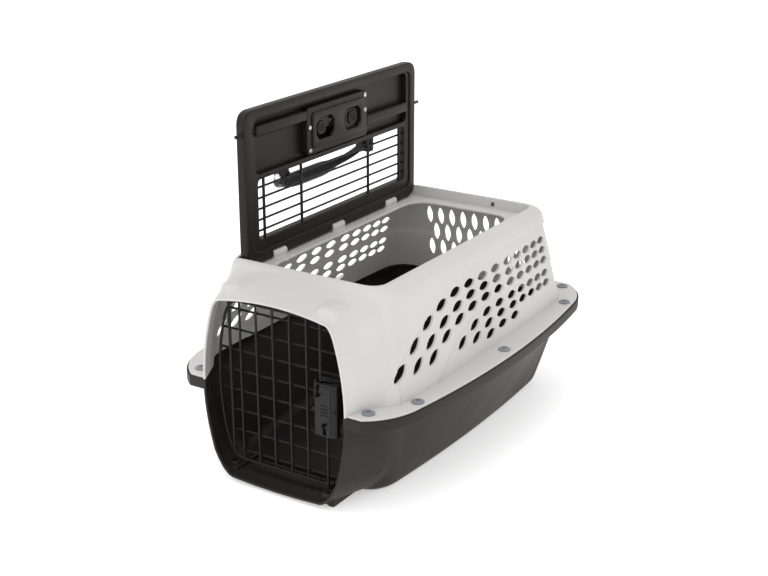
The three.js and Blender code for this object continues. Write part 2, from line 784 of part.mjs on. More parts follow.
function lidPlate(x0, x1, y0, y1, reach0, reach1, radius) {
  return sidePrism(roundedRectangle(y0, y1, lidFoot + reach0, lidFoot + reach1, radius, 4), x0, x1);
}

function lidFrame() {
  const plate = lidPlate(lidOuterX, lidInnerX, -lidHalfLength, lidHalfLength, 0, lidWidth, lidCornerRadius);
  const window = lidPlate(
    lidOuterX - 1, lidInnerX + 1, -windowHalfLength, windowHalfLength, windowLow, windowHigh, 5,
  );
  const tray = lidPlate(
    lidOuterX + lidPanel, lidInnerX + 1, -trayHalfLength, trayHalfLength, trayLow, trayHigh, 8,
  );
  const notches = [-hingePitch, 0, hingePitch].map((y) => {
    const half = knuckleLength / 2 + 1;
    const round = barAlongY(hingeX, y - half, y + half, hingeZ, knuckleRadius + 1.8, 14);
    const foot = block(hingeX - 5.5, lidInnerX + 1, y - half, y + half, lidFoot - 1, hingeZ);
    return round.add(foot);
  });
  const pinBores = [-hingePitch, 0, hingePitch].map((y) => {
    const half = hingePinLength / 2 + 0.6;
    return barAlongY(hingeX, y - half, y + half, hingeZ, hingePinRadius + touchGap, 12);
  });
  const rodBores = [[frontRodReach, -1], [rearRodReach, 1]].map(([reach, end]) => {
    const inner = end * (trayHalfLength - 36);
    const outer = end * (lidHalfLength + 1);
    return barAlongY(rodOpenX, inner, outer, hingeZ + reach, latchRodRadius + runningGap, 10);
  });
  const lugs = [-1, 1].map((side) => {
    const [y0, y1] = ordered(side * (handleHalfSpan + 5), side * (handleHalfSpan + 12));
    const root = block(
      handleAxisX - handleEyeRadius, lidOuterX + 4, y0, y1,
      handleAxisZ - handleEyeRadius, lidFoot + windowHigh + 6,
    );
    const hole = barAlongY(handleAxisX, y0 - 20, y1 + 20, handleAxisZ, handlePinRadius + touchGap, 12);
    return { root, hole };
  });
  const buttonSlots = [-1, 1].map((end) => {
    const y = end * buttonY;
    const z = hingeZ + (end < 0 ? frontRodReach : rearRodReach);
    const half = buttonHalf + rodTravel / 2 + runningGap;
    const centre = y - (end * rodTravel) / 2;
    const tall = buttonHalfHeight + 0.6;
    return block(lidOuterX - 1, lidOuterX + lidPanel + 1, centre - half, centre + half, z - tall, z + tall);
  });
  const screwBores = coverScrewPlaces().map(([y, z]) => {
    return bar([lidOuterX + lidPanel - 1.6, y, z], [lidInnerX + 2, y, z], screwRadius + touchGap, 8);
  });
  const posts = coverScrewPlaces().map(([y, z]) => {
    return bar([lidOuterX + lidPanel - 1, y, z], [coverInnerX - touchGap, y, z], 3.8, 10);
  });
  const body = cutBy(plate, [window, tray]).add(joined([...lugs.map((lug) => lug.root), ...posts]));
  return cutBy(body, [
    ...notches, ...pinBores, ...rodBores, ...lugs.map((lug) => lug.hole), ...buttonSlots, ...screwBores,
    ...gridSockets(),
  ]);
}

function coverScrewPlaces() {
  const y = latchBoxHalfLength - 5;
  const low = lidFoot + latchBoxLow + 5;
  const middle = hingeZ + (frontRodReach + rearRodReach) / 2;
  const high = lidFoot + latchBoxHigh - 5;
  return [[-y, low], [-y, middle], [y, middle], [y, high]];
}

// Wires of the lid's window: as many along the lid as it has room for, and four across it.
function gridPlaces() {
  const gridX = (lidOuterX + lidInnerX) / 2;
  const crossX = gridX + gridWireRadius + gridCrossRadius - 0.4;
  const count = Math.floor((windowHigh - windowLow - 14) / gridPitch) + 1;
  const along = Array.from({ length: count }, (_, i) => lidFoot + windowLow + 9 + gridPitch * i);
  const endCross = windowHalfLength - gridEndRoom;
  return { gridX, crossX, along, across: [-endCross, -gridInnerCross, gridInnerCross, endCross] };
}

function lidGrille() {
  const { gridX, crossX, along, across } = gridPlaces();
  const endY = windowHalfLength + 4;
  const [low, high] = [lidFoot + windowLow - 4, lidFoot + windowHigh + 3];
  const wires = along.map((z) => barAlongY(gridX, -endY, endY, z, gridWireRadius, 6));
  const bars = across.map((y) => bar([crossX, y, low], [crossX, y, high], gridCrossRadius, 8));
  return joined([...wires, ...bars]);
}

function gridSockets() {
  const { gridX, crossX, along, across } = gridPlaces();
  const [low, high] = [lidFoot + windowLow - 4.5, lidFoot + windowHigh + 3.5];
  const ends = [-1, 1].flatMap((end) => along.map((z) => {
    const [inner, outer] = [end * (windowHalfLength - 1), end * (windowHalfLength + 4.5)];
    return barAlongY(gridX, inner, outer, z, gridWireRadius + touchGap, 6);
  }));
  const slots = across.map((y) => bar([crossX, y, low], [crossX, y, high], gridCrossRadius + touchGap, 8));
  return [...ends, ...slots];
}

// Cover over the sliders, with an arm along each rod and two finger windows.
function lidLatchCover() {
  const half = latchBoxHalfLength;
  const box = lidPlate(coverInnerX, coverOuterX, -half, half, latchBoxLow, latchBoxHigh, 5);
  const arms = [[frontRodReach, -1], [rearRodReach, 1]].map(([reach, end]) => {
    const z = hingeZ + reach;
    const [y0, y1] = ordered(end * (half - 3), end * (trayHalfLength - 1));
    return block(rodOpenX + latchRodRadius + touchGap, coverOuterX, y0, y1, z - 5, z + 5);
  });
  const [windowFoot, windowHead] = [latchBoxLow + 19, latchBoxHigh - 19];
  const windows = [-30, 30].map((y) => {
    return lidPlate(coverInnerX - 1, coverOuterX + 1, y - 15, y + 15, windowFoot, windowHead, 6);
  });
  const holes = coverScrewPlaces().map(([y, z]) => {
    return bar([coverInnerX - 2, y, z], [coverOuterX + 1, y, z], screwRadius + touchGap, 8);
  });
  return cutBy(joined([box, ...arms]), [...windows, ...holes]);
}

function coverScrew(y, z) {
  const head = bar([coverOuterX + touchGap, y, z], [coverOuterX + touchGap + 1.2, y, z], 2.8, 10);
  const shank = bar([lidOuterX + lidPanel - 1, y, z], [coverOuterX + touchGap + 0.3, y, z], screwRadius, 8);
  return head.add(shank);
}

// A slider with its thumb button outside and a pocket for the shared spring.
function lidLatchSlider(end) {
  const z = hingeZ + (end < 0 ? frontRodReach : rearRodReach);
  const [y0, y1] = ordered(end * 13, end * 52);
  const [z0, z1] = ordered(z, springZ);
  const bridge = block(sliderBack, sliderFront, y0, y1, z0 - 6, z1 + 6);
  const middle = end * buttonY;
  const button = block(
    lidOuterX - 3.5, sliderBack + 1, middle - buttonHalf, middle + buttonHalf,
    z - buttonHalfHeight, z + buttonHalfHeight,
  );
  const grooves = [-6, -2, 2, 6].map((offset) => {
    const y = middle + offset;
    return block(lidOuterX - 4, lidOuterX - 2.6, y - 0.8, y + 0.8, z - 5.5, z + 5.5);
  });
  const middleX = (sliderBack + sliderFront) / 2;
  const pocketEnd = end * (springHalf + rodTravel + 2);
  const pocket = barAlongY(middleX, 0, pocketEnd, springZ, springRadius + runningGap + 0.1, 10);
  const socket = barAlongY(rodOpenX, end * (rodRoot - 1), end * 60, z, latchRodRadius + touchGap, 10);
  return cutBy(bridge.add(button), [...grooves, pocket, socket]);
}

function lidRod(end) {
  const z = hingeZ + (end < 0 ? frontRodReach : rearRodReach);
  const tip = end * (recessHalfLength + rodProud);
  const body = barAlongY(rodOpenX, end * rodRoot, tip - end * 2, z, latchRodRadius, 10);
  const nose = new THREE.ConeGeometry(latchRodRadius, 3, 10).translate(0, 1.5, 0);
  nose.scale(1, end * 1, 1).translate(rodOpenX, tip - end * 3, z);
  return body.add(solid(nose));
}

function helixSpring(start, length, radius, wireRadius, turns, along) {
  const points = [];
  const perTurn = 7;
  for (let i = 0; i <= turns * perTurn; i += 1) {
    const angle = (2 * Math.PI * i) / perTurn;
    const travel = (length * i) / (turns * perTurn);
    const [a, b] = [radius * Math.cos(angle), radius * Math.sin(angle)];
    points.push(along === 'y'
      ? [start[0] + a, start[1] + travel, start[2] + b]
      : [start[0] + a, start[1] + b, start[2] + travel]);
  }
  return bentWire(points, wireRadius, turns * perTurn, 4);
}

function lidLatchSpring() {
  const middleX = (sliderBack + sliderFront) / 2;
  return helixSpring([middleX, -springHalf, springZ], 2 * springHalf, springRadius - 0.5, 0.5, 5, 'y');
}

function hingePin(y) {
  const half = hingePinLength / 2;
  return barAlongY(hingeX, y - half, y + half, hingeZ, hingePinRadius, 12);
}

// Carrying handle, hanging down from the open lid's outer face

function handleBow() {
  const eyes = [-1, 1].map((side) => {
    const [y0, y1] = [side * (handleHalfSpan - 4), side * (handleHalfSpan + 5 - runningGap)];
    return barAlongY(handleAxisX, y0, y1, handleAxisZ, handleEyeRadius, 14);
  });
  const stations = 14;
  const rings = [];
  for (let i = 0; i <= stations; i += 1) {
    const share = (2 * i) / stations - 1;
    const y = share * handleHalfSpan;
    const rise = handleRise * (1 - share ** 4) ** 0.75;
    const middle = Math.exp(-((share * 1.7) ** 6));
    const halfWide = 4.5 + 4.5 * middle;
    const halfThick = 4 + 1.6 * middle;
    rings.push(handleSection(y, rise, halfThick, halfWide));
  }
  const bow = loft(rings);
  const holes = [-1, 1].map((side) => {
    const [y0, y1] = [side * (handleHalfSpan - 1), side * (handleHalfSpan + 9)];
    return barAlongY(handleAxisX, y0, y1, handleAxisZ, handlePinRadius + touchGap, 12);
  });
  return cutBy(joined([...eyes, bow]), holes);
}

// The bow's section at a distance out from its axis, turned down by the droop.
function handleSection(y, rise, halfThick, halfWide) {
  const sides = 8;
  const [cosine, sine] = [Math.cos(handleDroop), Math.sin(handleDroop)];
  return Array.from({ length: sides }, (_, i) => {
    const angle = (2 * Math.PI * (i + 0.5)) / sides;
    const out = rise - halfThick * Math.cos(angle);
    const across = halfWide * Math.sin(angle);
    return [handleAxisX - out * cosine - across * sine, y, handleAxisZ - out * sine + across * cosine];
  });
}

function handlePin(side) {
  const inner = side * (handleHalfSpan - 0.4);
  const outer = side * (handleHalfSpan + 13);
  const shank = barAlongY(handleAxisX, inner, outer, handleAxisZ, handlePinRadius, 12);
  const head = barAlongY(handleAxisX, outer - side * 0.7, outer + side, handleAxisZ, 4.4, 12);
  return shank.add(head);
}

// Assembly

const carrier = new THREE.Group();
carrier.name = 'pet_carrier';

carrier.add(pieceMesh('base_tub', baseTub(), finishes.tub));
carrier.add(pieceMesh('top_shell', topShell(), finishes.shell));
boltPlaces().forEach(([x, y], i) => {
  carrier.add(pieceMesh(`flange_bolt_${i + 1}`, flangeBolt(x, y), finishes.bolt));
  carrier.add(pieceMesh(`flange_nut_${i + 1}`, flangeNut(x, y), finishes.bolt));
});
carrier.add(pieceMesh('door_grille', doorGrille(), finishes.wire));
carrier.add(pieceMesh('door_latch_housing', doorLatchHousing(), finishes.latch));
carrier.add(pieceMesh('door_latch_plate', doorLatchPlate(), finishes.latch));
[
  { place: 'upper', x: upperRodX, tip: upperRestTip, hookZ: upperHookZ, end: 1 },
  { place: 'lower', x: lowerRodX, tip: lowerRestTip, hookZ: lowerHookZ, end: -1 },
].forEach(({ place, x, tip, hookZ, end }) => {
  carrier.add(pieceMesh(`door_latch_rod_${place}`, doorLatchRod(x, tip, hookZ), finishes.wire));
  carrier.add(pieceMesh(`door_latch_spring_${place}`, doorLatchSpring(x, end, hookZ), finishes.steel));
});
carrier.add(pieceMesh('lid_frame', lidFrame(), finishes.lid));
carrier.add(pieceMesh('lid_grille', lidGrille(), finishes.wire));
carrier.add(pieceMesh('lid_latch_cover', lidLatchCover(), finishes.lid));
coverScrewPlaces().forEach(([y, z], i) => {
  carrier.add(pieceMesh(`lid_cover_screw_${i + 1}`, coverScrew(y, z), finishes.steel));
});
carrier.add(pieceMesh('lid_latch_slider_front', lidLatchSlider(-1), finishes.lid));
carrier.add(pieceMesh('lid_latch_slider_rear', lidLatchSlider(1), finishes.lid));
carrier.add(pieceMesh('lid_latch_rod_front', lidRod(-1), finishes.wire));
carrier.add(pieceMesh('lid_latch_rod_rear', lidRod(1), finishes.wire));
carrier.add(pieceMesh('lid_latch_spring', lidLatchSpring(), finishes.steel));
[-hingePitch, 0, hingePitch].forEach((y, i) => {
  carrier.add(pieceMesh(`lid_hinge_pin_${i + 1}`, hingePin(y), finishes.steel));
});
carrier.add(pieceMesh('handle', handleBow(), finishes.latch));
carrier.add(pieceMesh('handle_pin_front', handlePin(-1), finishes.steel));
carrier.add(pieceMesh('handle_pin_rear', handlePin(1), finishes.steel));

export default carrier;
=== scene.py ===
# Pet transport carrier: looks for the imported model. Lengths in this file are millimetres.
import math

import bmesh
import bpy
from mathutils import Matrix, Vector


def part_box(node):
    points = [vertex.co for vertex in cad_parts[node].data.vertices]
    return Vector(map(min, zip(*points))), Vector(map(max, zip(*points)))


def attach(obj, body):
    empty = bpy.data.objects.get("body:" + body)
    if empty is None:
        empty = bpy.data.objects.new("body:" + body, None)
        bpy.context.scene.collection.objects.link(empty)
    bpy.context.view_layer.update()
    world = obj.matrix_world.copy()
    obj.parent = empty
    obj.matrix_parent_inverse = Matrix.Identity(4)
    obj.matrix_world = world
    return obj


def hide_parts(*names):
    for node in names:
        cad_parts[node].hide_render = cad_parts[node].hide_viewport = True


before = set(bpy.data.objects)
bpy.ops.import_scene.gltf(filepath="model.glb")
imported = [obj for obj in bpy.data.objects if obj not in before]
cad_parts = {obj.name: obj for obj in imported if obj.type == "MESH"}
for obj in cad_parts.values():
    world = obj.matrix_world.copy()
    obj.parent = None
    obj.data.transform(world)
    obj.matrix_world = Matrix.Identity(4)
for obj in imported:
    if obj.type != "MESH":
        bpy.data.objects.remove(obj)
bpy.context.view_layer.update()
mm = 0.001


def report(stage):
    print("stage:", stage)


def boxOf(node):
    low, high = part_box(node)
    return low / mm, high / mm


def pick(*objects):
    bpy.ops.object.select_all(action="DESELECT")
    for obj in objects:
        obj.select_set(True)
    bpy.context.view_layer.objects.active = objects[0]


def modify(obj, kind, **settings):
    pick(obj)
    modifier = obj.modifiers.new(kind.title(), kind)
    for name, value in settings.items():
        setattr(modifier, name, value)
    bpy.ops.object.modifier_apply(modifier=modifier.name)


def combine(obj, tools, operation="DIFFERENCE"):
    for tool in tools:
        modify(obj, "BOOLEAN", operation=operation, solver="MANIFOLD", object=tool)
        bpy.data.objects.remove(tool)
    return obj


def joinAll(objects):
    pick(*objects)
    if len(objects) > 1:
        bpy.ops.object.join()
    return objects[0]


def melt(obj, voxel, rounds):
    # one skin with soft joins
    modify(obj, "REMESH", mode="VOXEL", voxel_size=voxel * mm, adaptivity=0)
    modify(obj, "SMOOTH", factor=0.5, iterations=rounds)
    return obj


def bezier(a, control, b, steps):
    points = []
    for i in range(steps + 1):
        t = i / steps
        early, middle, late = (1 - t) ** 2, 2 * t * (1 - t), t * t
        points.append(tuple(early * p + middle * q + late * r for p, q, r in zip(a, control, b)))
    return points


def inset(outline, distance):
    # anticlockwise outlines shrink; a negative distance grows them
    moved = []
    for i, (x, y) in enumerate(outline):
        (ax, ay), (bx, by) = outline[i - 1], outline[(i + 1) % len(outline)]
        one = Vector((ay - y, x - ax)).normalized()
        two = Vector((y - by, bx - x)).normalized()
        middle = (one + two).normalized()
        reach = distance / max(0.5, middle.dot(one))
        moved.append((x + middle.x * reach, y + middle.y * reach))
    return moved


def softened(points, radius, steps=5):
    # round every corner of a polygon
    outline = []
    for i, point in enumerate(points):
        here = Vector(point)
        before, after = Vector(points[i - 1]), Vector(points[(i + 1) % len(points)])
        cut = min(radius, 0.49 * (before - here).length, 0.49 * (after - here).length)
        start = here + (before - here).normalized() * cut
        end = here + (after - here).normalized() * cut
        outline += bezier(start, here, end, steps)
    return outline


def rectangle(a0, a1, b0, b1, radius, steps=5):
    return softened([(a0, b0), (a1, b0), (a1, b1), (a0, b1)], radius, steps)


def octagon(a, b, halfA, halfB, corner, radius=1.2):
    flatA, flatB = halfA - corner, halfB - corner
    points = [(-flatA, -halfB), (flatA, -halfB), (halfA, -flatB), (halfA, flatB),
              (flatA, halfB), (-flatA, halfB), (-halfA, flatB), (-halfA, -flatB)]
    return softened([(a + p, b + q) for p, q in points], radius, 3)


def barrelPlan(halfWidth, yFront, yRear, bow, radius):
    middle, half = (yFront + yRear) / 2, (yRear - yFront) / 2
    low, high = yFront + radius, yRear - radius
    steps = 12

    def sideX(y):
        return halfWidth - bow * ((y - middle) / half) ** 2

    right = bezier((sideX(low) - radius, yFront), (sideX(low), yFront), (sideX(low), low), 10)
    between = [low + (high - low) * i / steps for i in range(1, steps)]
    right += [(sideX(y), y) for y in between]
    right += bezier((sideX(high), high), (sideX(high), yRear), (sideX(high) - radius, yRear), 10)
    return right + [(-x, y) for x, y in reversed(right)]


def loft(name, rings):
    bpy.ops.mesh.primitive_circle_add(vertices=len(rings[0]), fill_type="NGON")
    obj = bpy.context.object
    obj.name = obj.data.name = name
    bpy.ops.object.mode_set(mode="EDIT")
    mesh = bmesh.from_edit_mesh(obj.data)
    mesh.verts.ensure_lookup_table()
    current = list(mesh.verts)
    for vert, point in zip(current, rings[0]):
        vert.co = Vector(point) * mm
    for ring in rings[1:]:
        places = {tuple(v.co): i for i, v in enumerate(current)}
        bpy.ops.mesh.extrude_region_move(TRANSFORM_OT_translate={"value": (0, 0, 0)})
        mesh = bmesh.from_edit_mesh(obj.data)
        fresh = [v for v in mesh.verts if v.select]
        current = [None] * len(ring)
        for vert in fresh:
            current[places[tuple(vert.co)]] = vert
        for vert, point in zip(current, ring):
            vert.co = Vector(point) * mm
    bpy.ops.mesh.select_all(action="SELECT")
    bpy.ops.mesh.normals_make_consistent(inside=False)
    bpy.ops.object.mode_set(mode="OBJECT")
    return obj


def ordered(a, b):
    return min(a, b), max(a, b)


def placed(axis, position, outline):
    if axis == "X":
        return [(position, a, b) for a, b in outline]
    if axis == "Y":
        return [(a, position, b) for a, b in outline]
    return [(a, b, position) for a, b in outline]


def edgeProfile(position, inward, radius, steps=4):
    # a round edge, or with a negative radius the flare of a cutter that makes one
    profile = []
    for i in range(steps + 1):
        angle = math.pi / 2 * i / steps
        travel = abs(radius) * (1 - math.cos(angle))
        profile.append((position + inward * travel, radius * (1 - math.sin(angle))))
    if radius < 0:
        profile.insert(0, (position - inward * 2, radius))
    return profile if radius else [(position, 0)]


def prism(name, axis, outline, low, high, roundLow=0.0, roundHigh=0.0):
    profile = edgeProfile(low, 1, roundLow) + edgeProfile(high, -1, roundHigh)[::-1]
    return loft(name, [placed(axis, position, inset(outline, moved)) for position, moved in profile])


def block(x0, x1, y0, y1, z0, z1, name="block"):
    return prism(name, "Z", [(x0, y0), (x1, y0), (x1, y1), (x0, y1)], z0, z1)


def turned(name, start, axis, profile, sides=24):
    # a turned part: distance along the axis and radius, ring after ring
    along = Vector(axis).normalized()
    across = along.orthogonal().normalized()
    third = along.cross(across)
    rings = []
    for distance, radius in profile:
        centre = Vector(start) + along * distance
        ring = []
        for i in range(sides):
            angle = math.tau * i / sides
            ring.append(centre + (across * math.cos(angle) + third * math.sin(angle)) * radius)
        rings.append(ring)
    return loft(name, rings)


def pin(name, start, end, radius, edge=0.4, sides=24):
    length = (Vector(end) - Vector(start)).length
    profile = [(0, radius - edge), (edge * 0.3, radius - edge * 0.3), (edge, radius),
               (length - edge, radius), (length - edge * 0.3, radius - edge * 0.3), (length, radius - edge)]
    return turned(name, start, Vector(end) - Vector(start), profile, sides)


def smoothPath(points, closed=False, steps=8):
    # points on a smooth curve through the given ones
    points = [Vector(p) for p in points]
    count = len(points)
    path = []
    for i in range(count if closed else count - 1):
        if closed:
            a, b, c, d = (points[(i + k) % count] for k in (-1, 0, 1, 2))
        else:
            a, b, c, d = (points[min(max(i + k, 0), count - 1)] for k in (-1, 0, 1, 2))
        for j in range(steps):
            t = j / steps
            path.append(0.5 * ((2 * b) + (c - a) * t + (2 * a - 5 * b + 4 * c - d) * t * t
                               + (3 * b - a - 3 * c + d) * t ** 3))
    return path if closed else path + [points[-1]]


def wire(name, path, radius, closed=False, detail=3):
    curve = bpy.data.curves.new(name, "CURVE")
    curve.dimensions = "3D"
    curve.bevel_depth = radius * mm
    curve.bevel_resolution = detail
    curve.use_fill_caps = True
    spline = curve.splines.new("POLY")
    path = [Vector(p) for p in path]
    shrink = [1.0] * len(path)
    if not closed:  # round tips
        for end in (0, -1):
            tip, towards = path[end], path[1 if end == 0 else -2]
            step = (towards - tip).normalized() * radius
            extra, sizes = [tip, tip + step * 0.35, tip + step], [0.45, 0.82, 1.0]
            if end == 0:
                path, shrink = extra + path[1:], sizes + shrink[1:]
            else:
                path, shrink = path[:-1] + extra[::-1], shrink[:-1] + sizes[::-1]
    spline.points.add(len(path) - 1)
    for point, place, size in zip(spline.points, path, shrink):
        point.co = (*(place * mm), 1)
        point.radius = size
    spline.use_cyclic_u = closed
    obj = bpy.data.objects.new(name, curve)
    bpy.context.scene.collection.objects.link(obj)
    pick(obj)
    bpy.ops.object.convert(target="MESH")
    bpy.ops.object.mode_set(mode="EDIT")
    bpy.ops.mesh.select_all(action="SELECT")
    bpy.ops.mesh.remove_doubles(threshold=1e-7)
    bpy.ops.mesh.normals_make_consistent(inside=False)
    bpy.ops.object.mode_set(mode="OBJECT")
    return obj


def copyTo(obj, name, offset):
    fresh = obj.copy()
    fresh.data = obj.data.copy()
    fresh.name = fresh.data.name = name
    fresh.data.transform(Matrix.Translation(Vector(offset) * mm))
    bpy.context.scene.collection.objects.link(fresh)
    return fresh


def finish(obj, name, body, slot, material, *nodes, angle=32):
    pick(obj)
    obj.name = obj.data.name = name
    bpy.ops.object.shade_smooth_by_angle(angle=math.radians(angle))
    obj.data.materials.clear()
    obj.data.materials.append(material)
    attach(obj, body)
    if nodes:
        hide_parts(*nodes)
    return obj


class Value:
    # a number socket; arithmetic on it adds Math nodes
    def __init__(self, finish, socket):
        self.finish, self.socket = finish, socket

    def math(self, operation, first, second):
        return self.finish.node("ShaderNodeMath", {"operation": operation}, {0: first, 1: second})

    def __add__(self, other):
        return self.math("ADD", self, other)

    def __radd__(self, other):
        return self.math("ADD", other, self)

    def __sub__(self, other):
        return self.math("SUBTRACT", self, other)

    def __rsub__(self, other):
        return self.math("SUBTRACT", other, self)

    def __mul__(self, other):
        return self.math("MULTIPLY", self, other)

    def __rmul__(self, other):
        return self.math("MULTIPLY", other, self)


class Finish:
    def __init__(self, name, **constants):
        self.material = bpy.data.materials.new(name)
        self.material.use_nodes = True
        self.tree = self.material.node_tree
        self.shader = self.tree.nodes["Principled BSDF"]
        self.place = self.node("ShaderNodeTexCoord", out="Object")
        for socket, value in constants.items():
            self.shader.inputs[socket.replace("_", " ")].default_value = value

    def node(self, kind, settings=None, sockets=None, out=0):
        made = self.tree.nodes.new(kind)
        for name, value in (settings or {}).items():
            setattr(made, name, value)
        for name, value in (sockets or {}).items():
            if isinstance(value, Value):
                self.tree.links.new(value.socket, made.inputs[name])
            else:
                made.inputs[name].default_value = value
        return Value(self, made.outputs[out])

    def noise(self, scale, detail=2.0, rough=0.5, stretch=(1, 1, 1)):
        place = self.node("ShaderNodeMapping", None, {"Vector": self.place, "Scale": stretch})
        return self.node("ShaderNodeTexNoise", None,
                         {"Vector": place, "Scale": scale, "Detail": detail, "Roughness": rough})

    def band(self, value, low, high):
        return self.node("ShaderNodeMapRange", {"interpolation_type": "SMOOTHSTEP"},
                         {"Value": value, "From Min": low, "From Max": high})

    def blend(self, factor, first, second):
        # the Mix node's colour sockets are its inputs 6 and 7 and its output 2
        first, second = (tone if isinstance(tone, Value) else (*tone, 1) for tone in (first, second))
        return self.node("ShaderNodeMix", {"data_type": "RGBA"}, {"Factor": factor, 6: first, 7: second}, 2)

    def bump(self, height, strength, distance):
        return self.node("ShaderNodeBump", None,
                         {"Height": height, "Strength": strength, "Distance": distance * mm})

    def drive(self, **links):
        for name, value in links.items():
            self.tree.links.new(value.socket, self.shader.inputs[name.replace("_", " ")])
        return self.material


def mouldedPlastic(name, base, shade, scuff, roughness, grain, scuffs):
    finish = Finish(name, Specular_IOR_Level=0.25)
    cloud = finish.band(finish.noise(7, 3), 0.35, 0.68)
    fine = finish.noise(1500, 2, 0.6)
    scratch = finish.band(finish.noise(60, 4, 0.65, (1, 0.12, 1)), 0.62, 0.74) * scuffs
    colour = finish.blend(cloud, base, shade)
    colour = finish.blend(scratch, colour, scuff)
    rough = cloud * 0.08 + roughness + scratch * 0.12 + fine * 0.06
    relief = finish.bump(fine + finish.noise(240, 3) * 0.5, grain, 0.12)
    return finish.drive(Base_Color=colour, Roughness=rough, Normal=relief)


def coatedWireFinish(name, base, roughness):
    finish = Finish(name, Specular_IOR_Level=0.3)
    peel = finish.noise(420, 3)
    worn = finish.band(finish.noise(90, 3), 0.66, 0.78)
    colour = finish.blend(worn, base, tuple(c * 2.2 for c in base))
    rough = roughness + peel * 0.1 + worn * 0.15
    return finish.drive(Base_Color=colour, Roughness=rough, Normal=finish.bump(peel, 0.18, 0.1))


def steelFinish(name, base, roughness):
    finish = Finish(name, Metallic=1.0)
    drawn = finish.noise(500, 3, 0.6, (1, 1, 0.1))
    tarnish = finish.band(finish.noise(60, 3), 0.55, 0.75)
    colour = finish.blend(tarnish, base, tuple(c * 0.72 for c in base))
    return finish.drive(Base_Color=colour, Roughness=roughness + drawn * 0.16 + tarnish * 0.1,
                        Normal=finish.bump(drawn, 0.1, 0.08))


finishes = {
    "shell_plastic": mouldedPlastic("shellPlastic", (0.6, 0.592, 0.571), (0.577, 0.567, 0.543),
                                    (0.65, 0.64, 0.615), 0.38, 0.05, 0.3),
    "tub_plastic": mouldedPlastic("tubPlastic", (0.0205, 0.0165, 0.0128), (0.0175, 0.014, 0.0108),
                                  (0.036, 0.031, 0.027), 0.45, 0.1, 0.3),
    "lid_plastic": mouldedPlastic("lidPlastic", (0.0098, 0.0074, 0.0057), (0.0082, 0.0061, 0.0047),
                                  (0.024, 0.021, 0.018), 0.38, 0.1, 0.3),
    "latch_plastic": mouldedPlastic("latchPlastic", (0.0125, 0.0125, 0.0132), (0.0102, 0.0102, 0.011),
                                    (0.045, 0.045, 0.047), 0.34, 0.08, 0.3),
    "bolt_plastic": mouldedPlastic("boltPlastic", (0.25, 0.265, 0.295), (0.21, 0.225, 0.255),
                                   (0.34, 0.355, 0.385), 0.35, 0.05, 0.2),
    "coated_wire": coatedWireFinish("coatedWire", (0.0045, 0.0043, 0.0047), 0.4),
    "bright_steel": steelFinish("brightSteel", (0.62, 0.63, 0.65), 0.2),
}
report("finishes")


studio = {"place": (0.827, -1.322, 0.732), "look": (-0.5054, 0.7924, -0.3417), "lens": 65.28,
          "sky": 0.95, "roof": 10.0, "side": 1.5, "front": 8.2}

bpy.ops.object.camera_add(location=studio["place"])
camera = bpy.context.object
camera.data.lens = studio["lens"]
camera.rotation_mode = "QUATERNION"
camera.rotation_quaternion = Vector(studio["look"]).to_track_quat("-Z", "Y")
bpy.context.scene.camera = camera

bpy.ops.object.select_all(action="DESELECT")
bpy.ops.mesh.primitive_plane_add(size=40, location=(0, 0, -0.0004))
floor = bpy.context.object
floor.name = "floor"
floorFinish = Finish("floorFinish", Roughness=0.9, Specular_IOR_Level=0.1,
                     Emission_Color=(1, 1, 1, 1), Emission_Strength=0.42)
floorTone = floorFinish.band(floorFinish.noise(3, 2), 0.3, 0.7)
floor.data.materials.append(
    floorFinish.drive(Base_Color=floorFinish.blend(floorTone, (0.95, 0.95, 0.95), (0.96, 0.96, 0.96))))

world = bpy.data.worlds.new("studio")
world.use_nodes = True
world.node_tree.nodes["Background"].inputs["Color"].default_value = (1, 1, 1, 1)
world.node_tree.nodes["Background"].inputs["Strength"].default_value = studio["sky"]
bpy.context.scene.world = world
bpy.context.scene.view_settings.view_transform = "Standard"


def softbox(name, place, size, power):
    bpy.ops.object.light_add(type="AREA", location=place)
    light = bpy.context.object
    light.name = name
    light.data.energy = power
    light.data.size = size
    light.rotation_mode = "QUATERNION"
    light.rotation_quaternion = (-Vector(place) + Vector((0, 0, 0.15))).to_track_quat("-Z", "Y")
    return light


softbox("roofLight", (-0.5, -0.4, 2.4), 2.4, studio["roof"])
softbox("sideLight", (2.2, -1.2, 1.3), 1.6, studio["side"])
softbox("frontLight", (-0.6, -2.4, 1.7), 1.8, studio["front"])
report("camera, floor and light")


body = {"front": -247, "parting": 116, "gap": 0.15, "top": 238, "wall": 2.5}
shell = {"halfWidth": 136, "halfLength": 212, "sideDraft": 0.208, "endDraft": 0.19, "bow": 5,
         "corner": 42, "cornerDraft": 0.06, "shoulder": 9, "panelStep": 2.2, "secondStep": 1.3,
         "panelFront": -196, "panelFoot": 112, "voxel": 2.6, "softness": 14,
         "pads": ((-63, -225), (65, -229)), "padTop": 228.6}
rim = {"halfWidth": 93.7, "waist": 114, "top": 222, "bottom": 3, "sideSink": 0.0018, "archDrop": 7,
       "widening": 26.3, "depth": 55, "hoodRun": 70, "bead": 1.6}
flange = {"halfLength": 247, "halfWidth": 163, "bow": 15, "cornerLength": 53, "cornerWidth": 50,
          "lipProud": 2.3, "thickness": 2.6}


def shellPlan(z, moved=0):
    rise = z - body["parting"]
    halfLength = shell["halfLength"] - shell["endDraft"] * rise
    halfWidth = shell["halfWidth"] - shell["sideDraft"] * rise
    corner = shell["corner"] - shell["cornerDraft"] * rise
    return inset(barrelPlan(halfWidth, -halfLength, halfLength, shell["bow"], corner), moved)


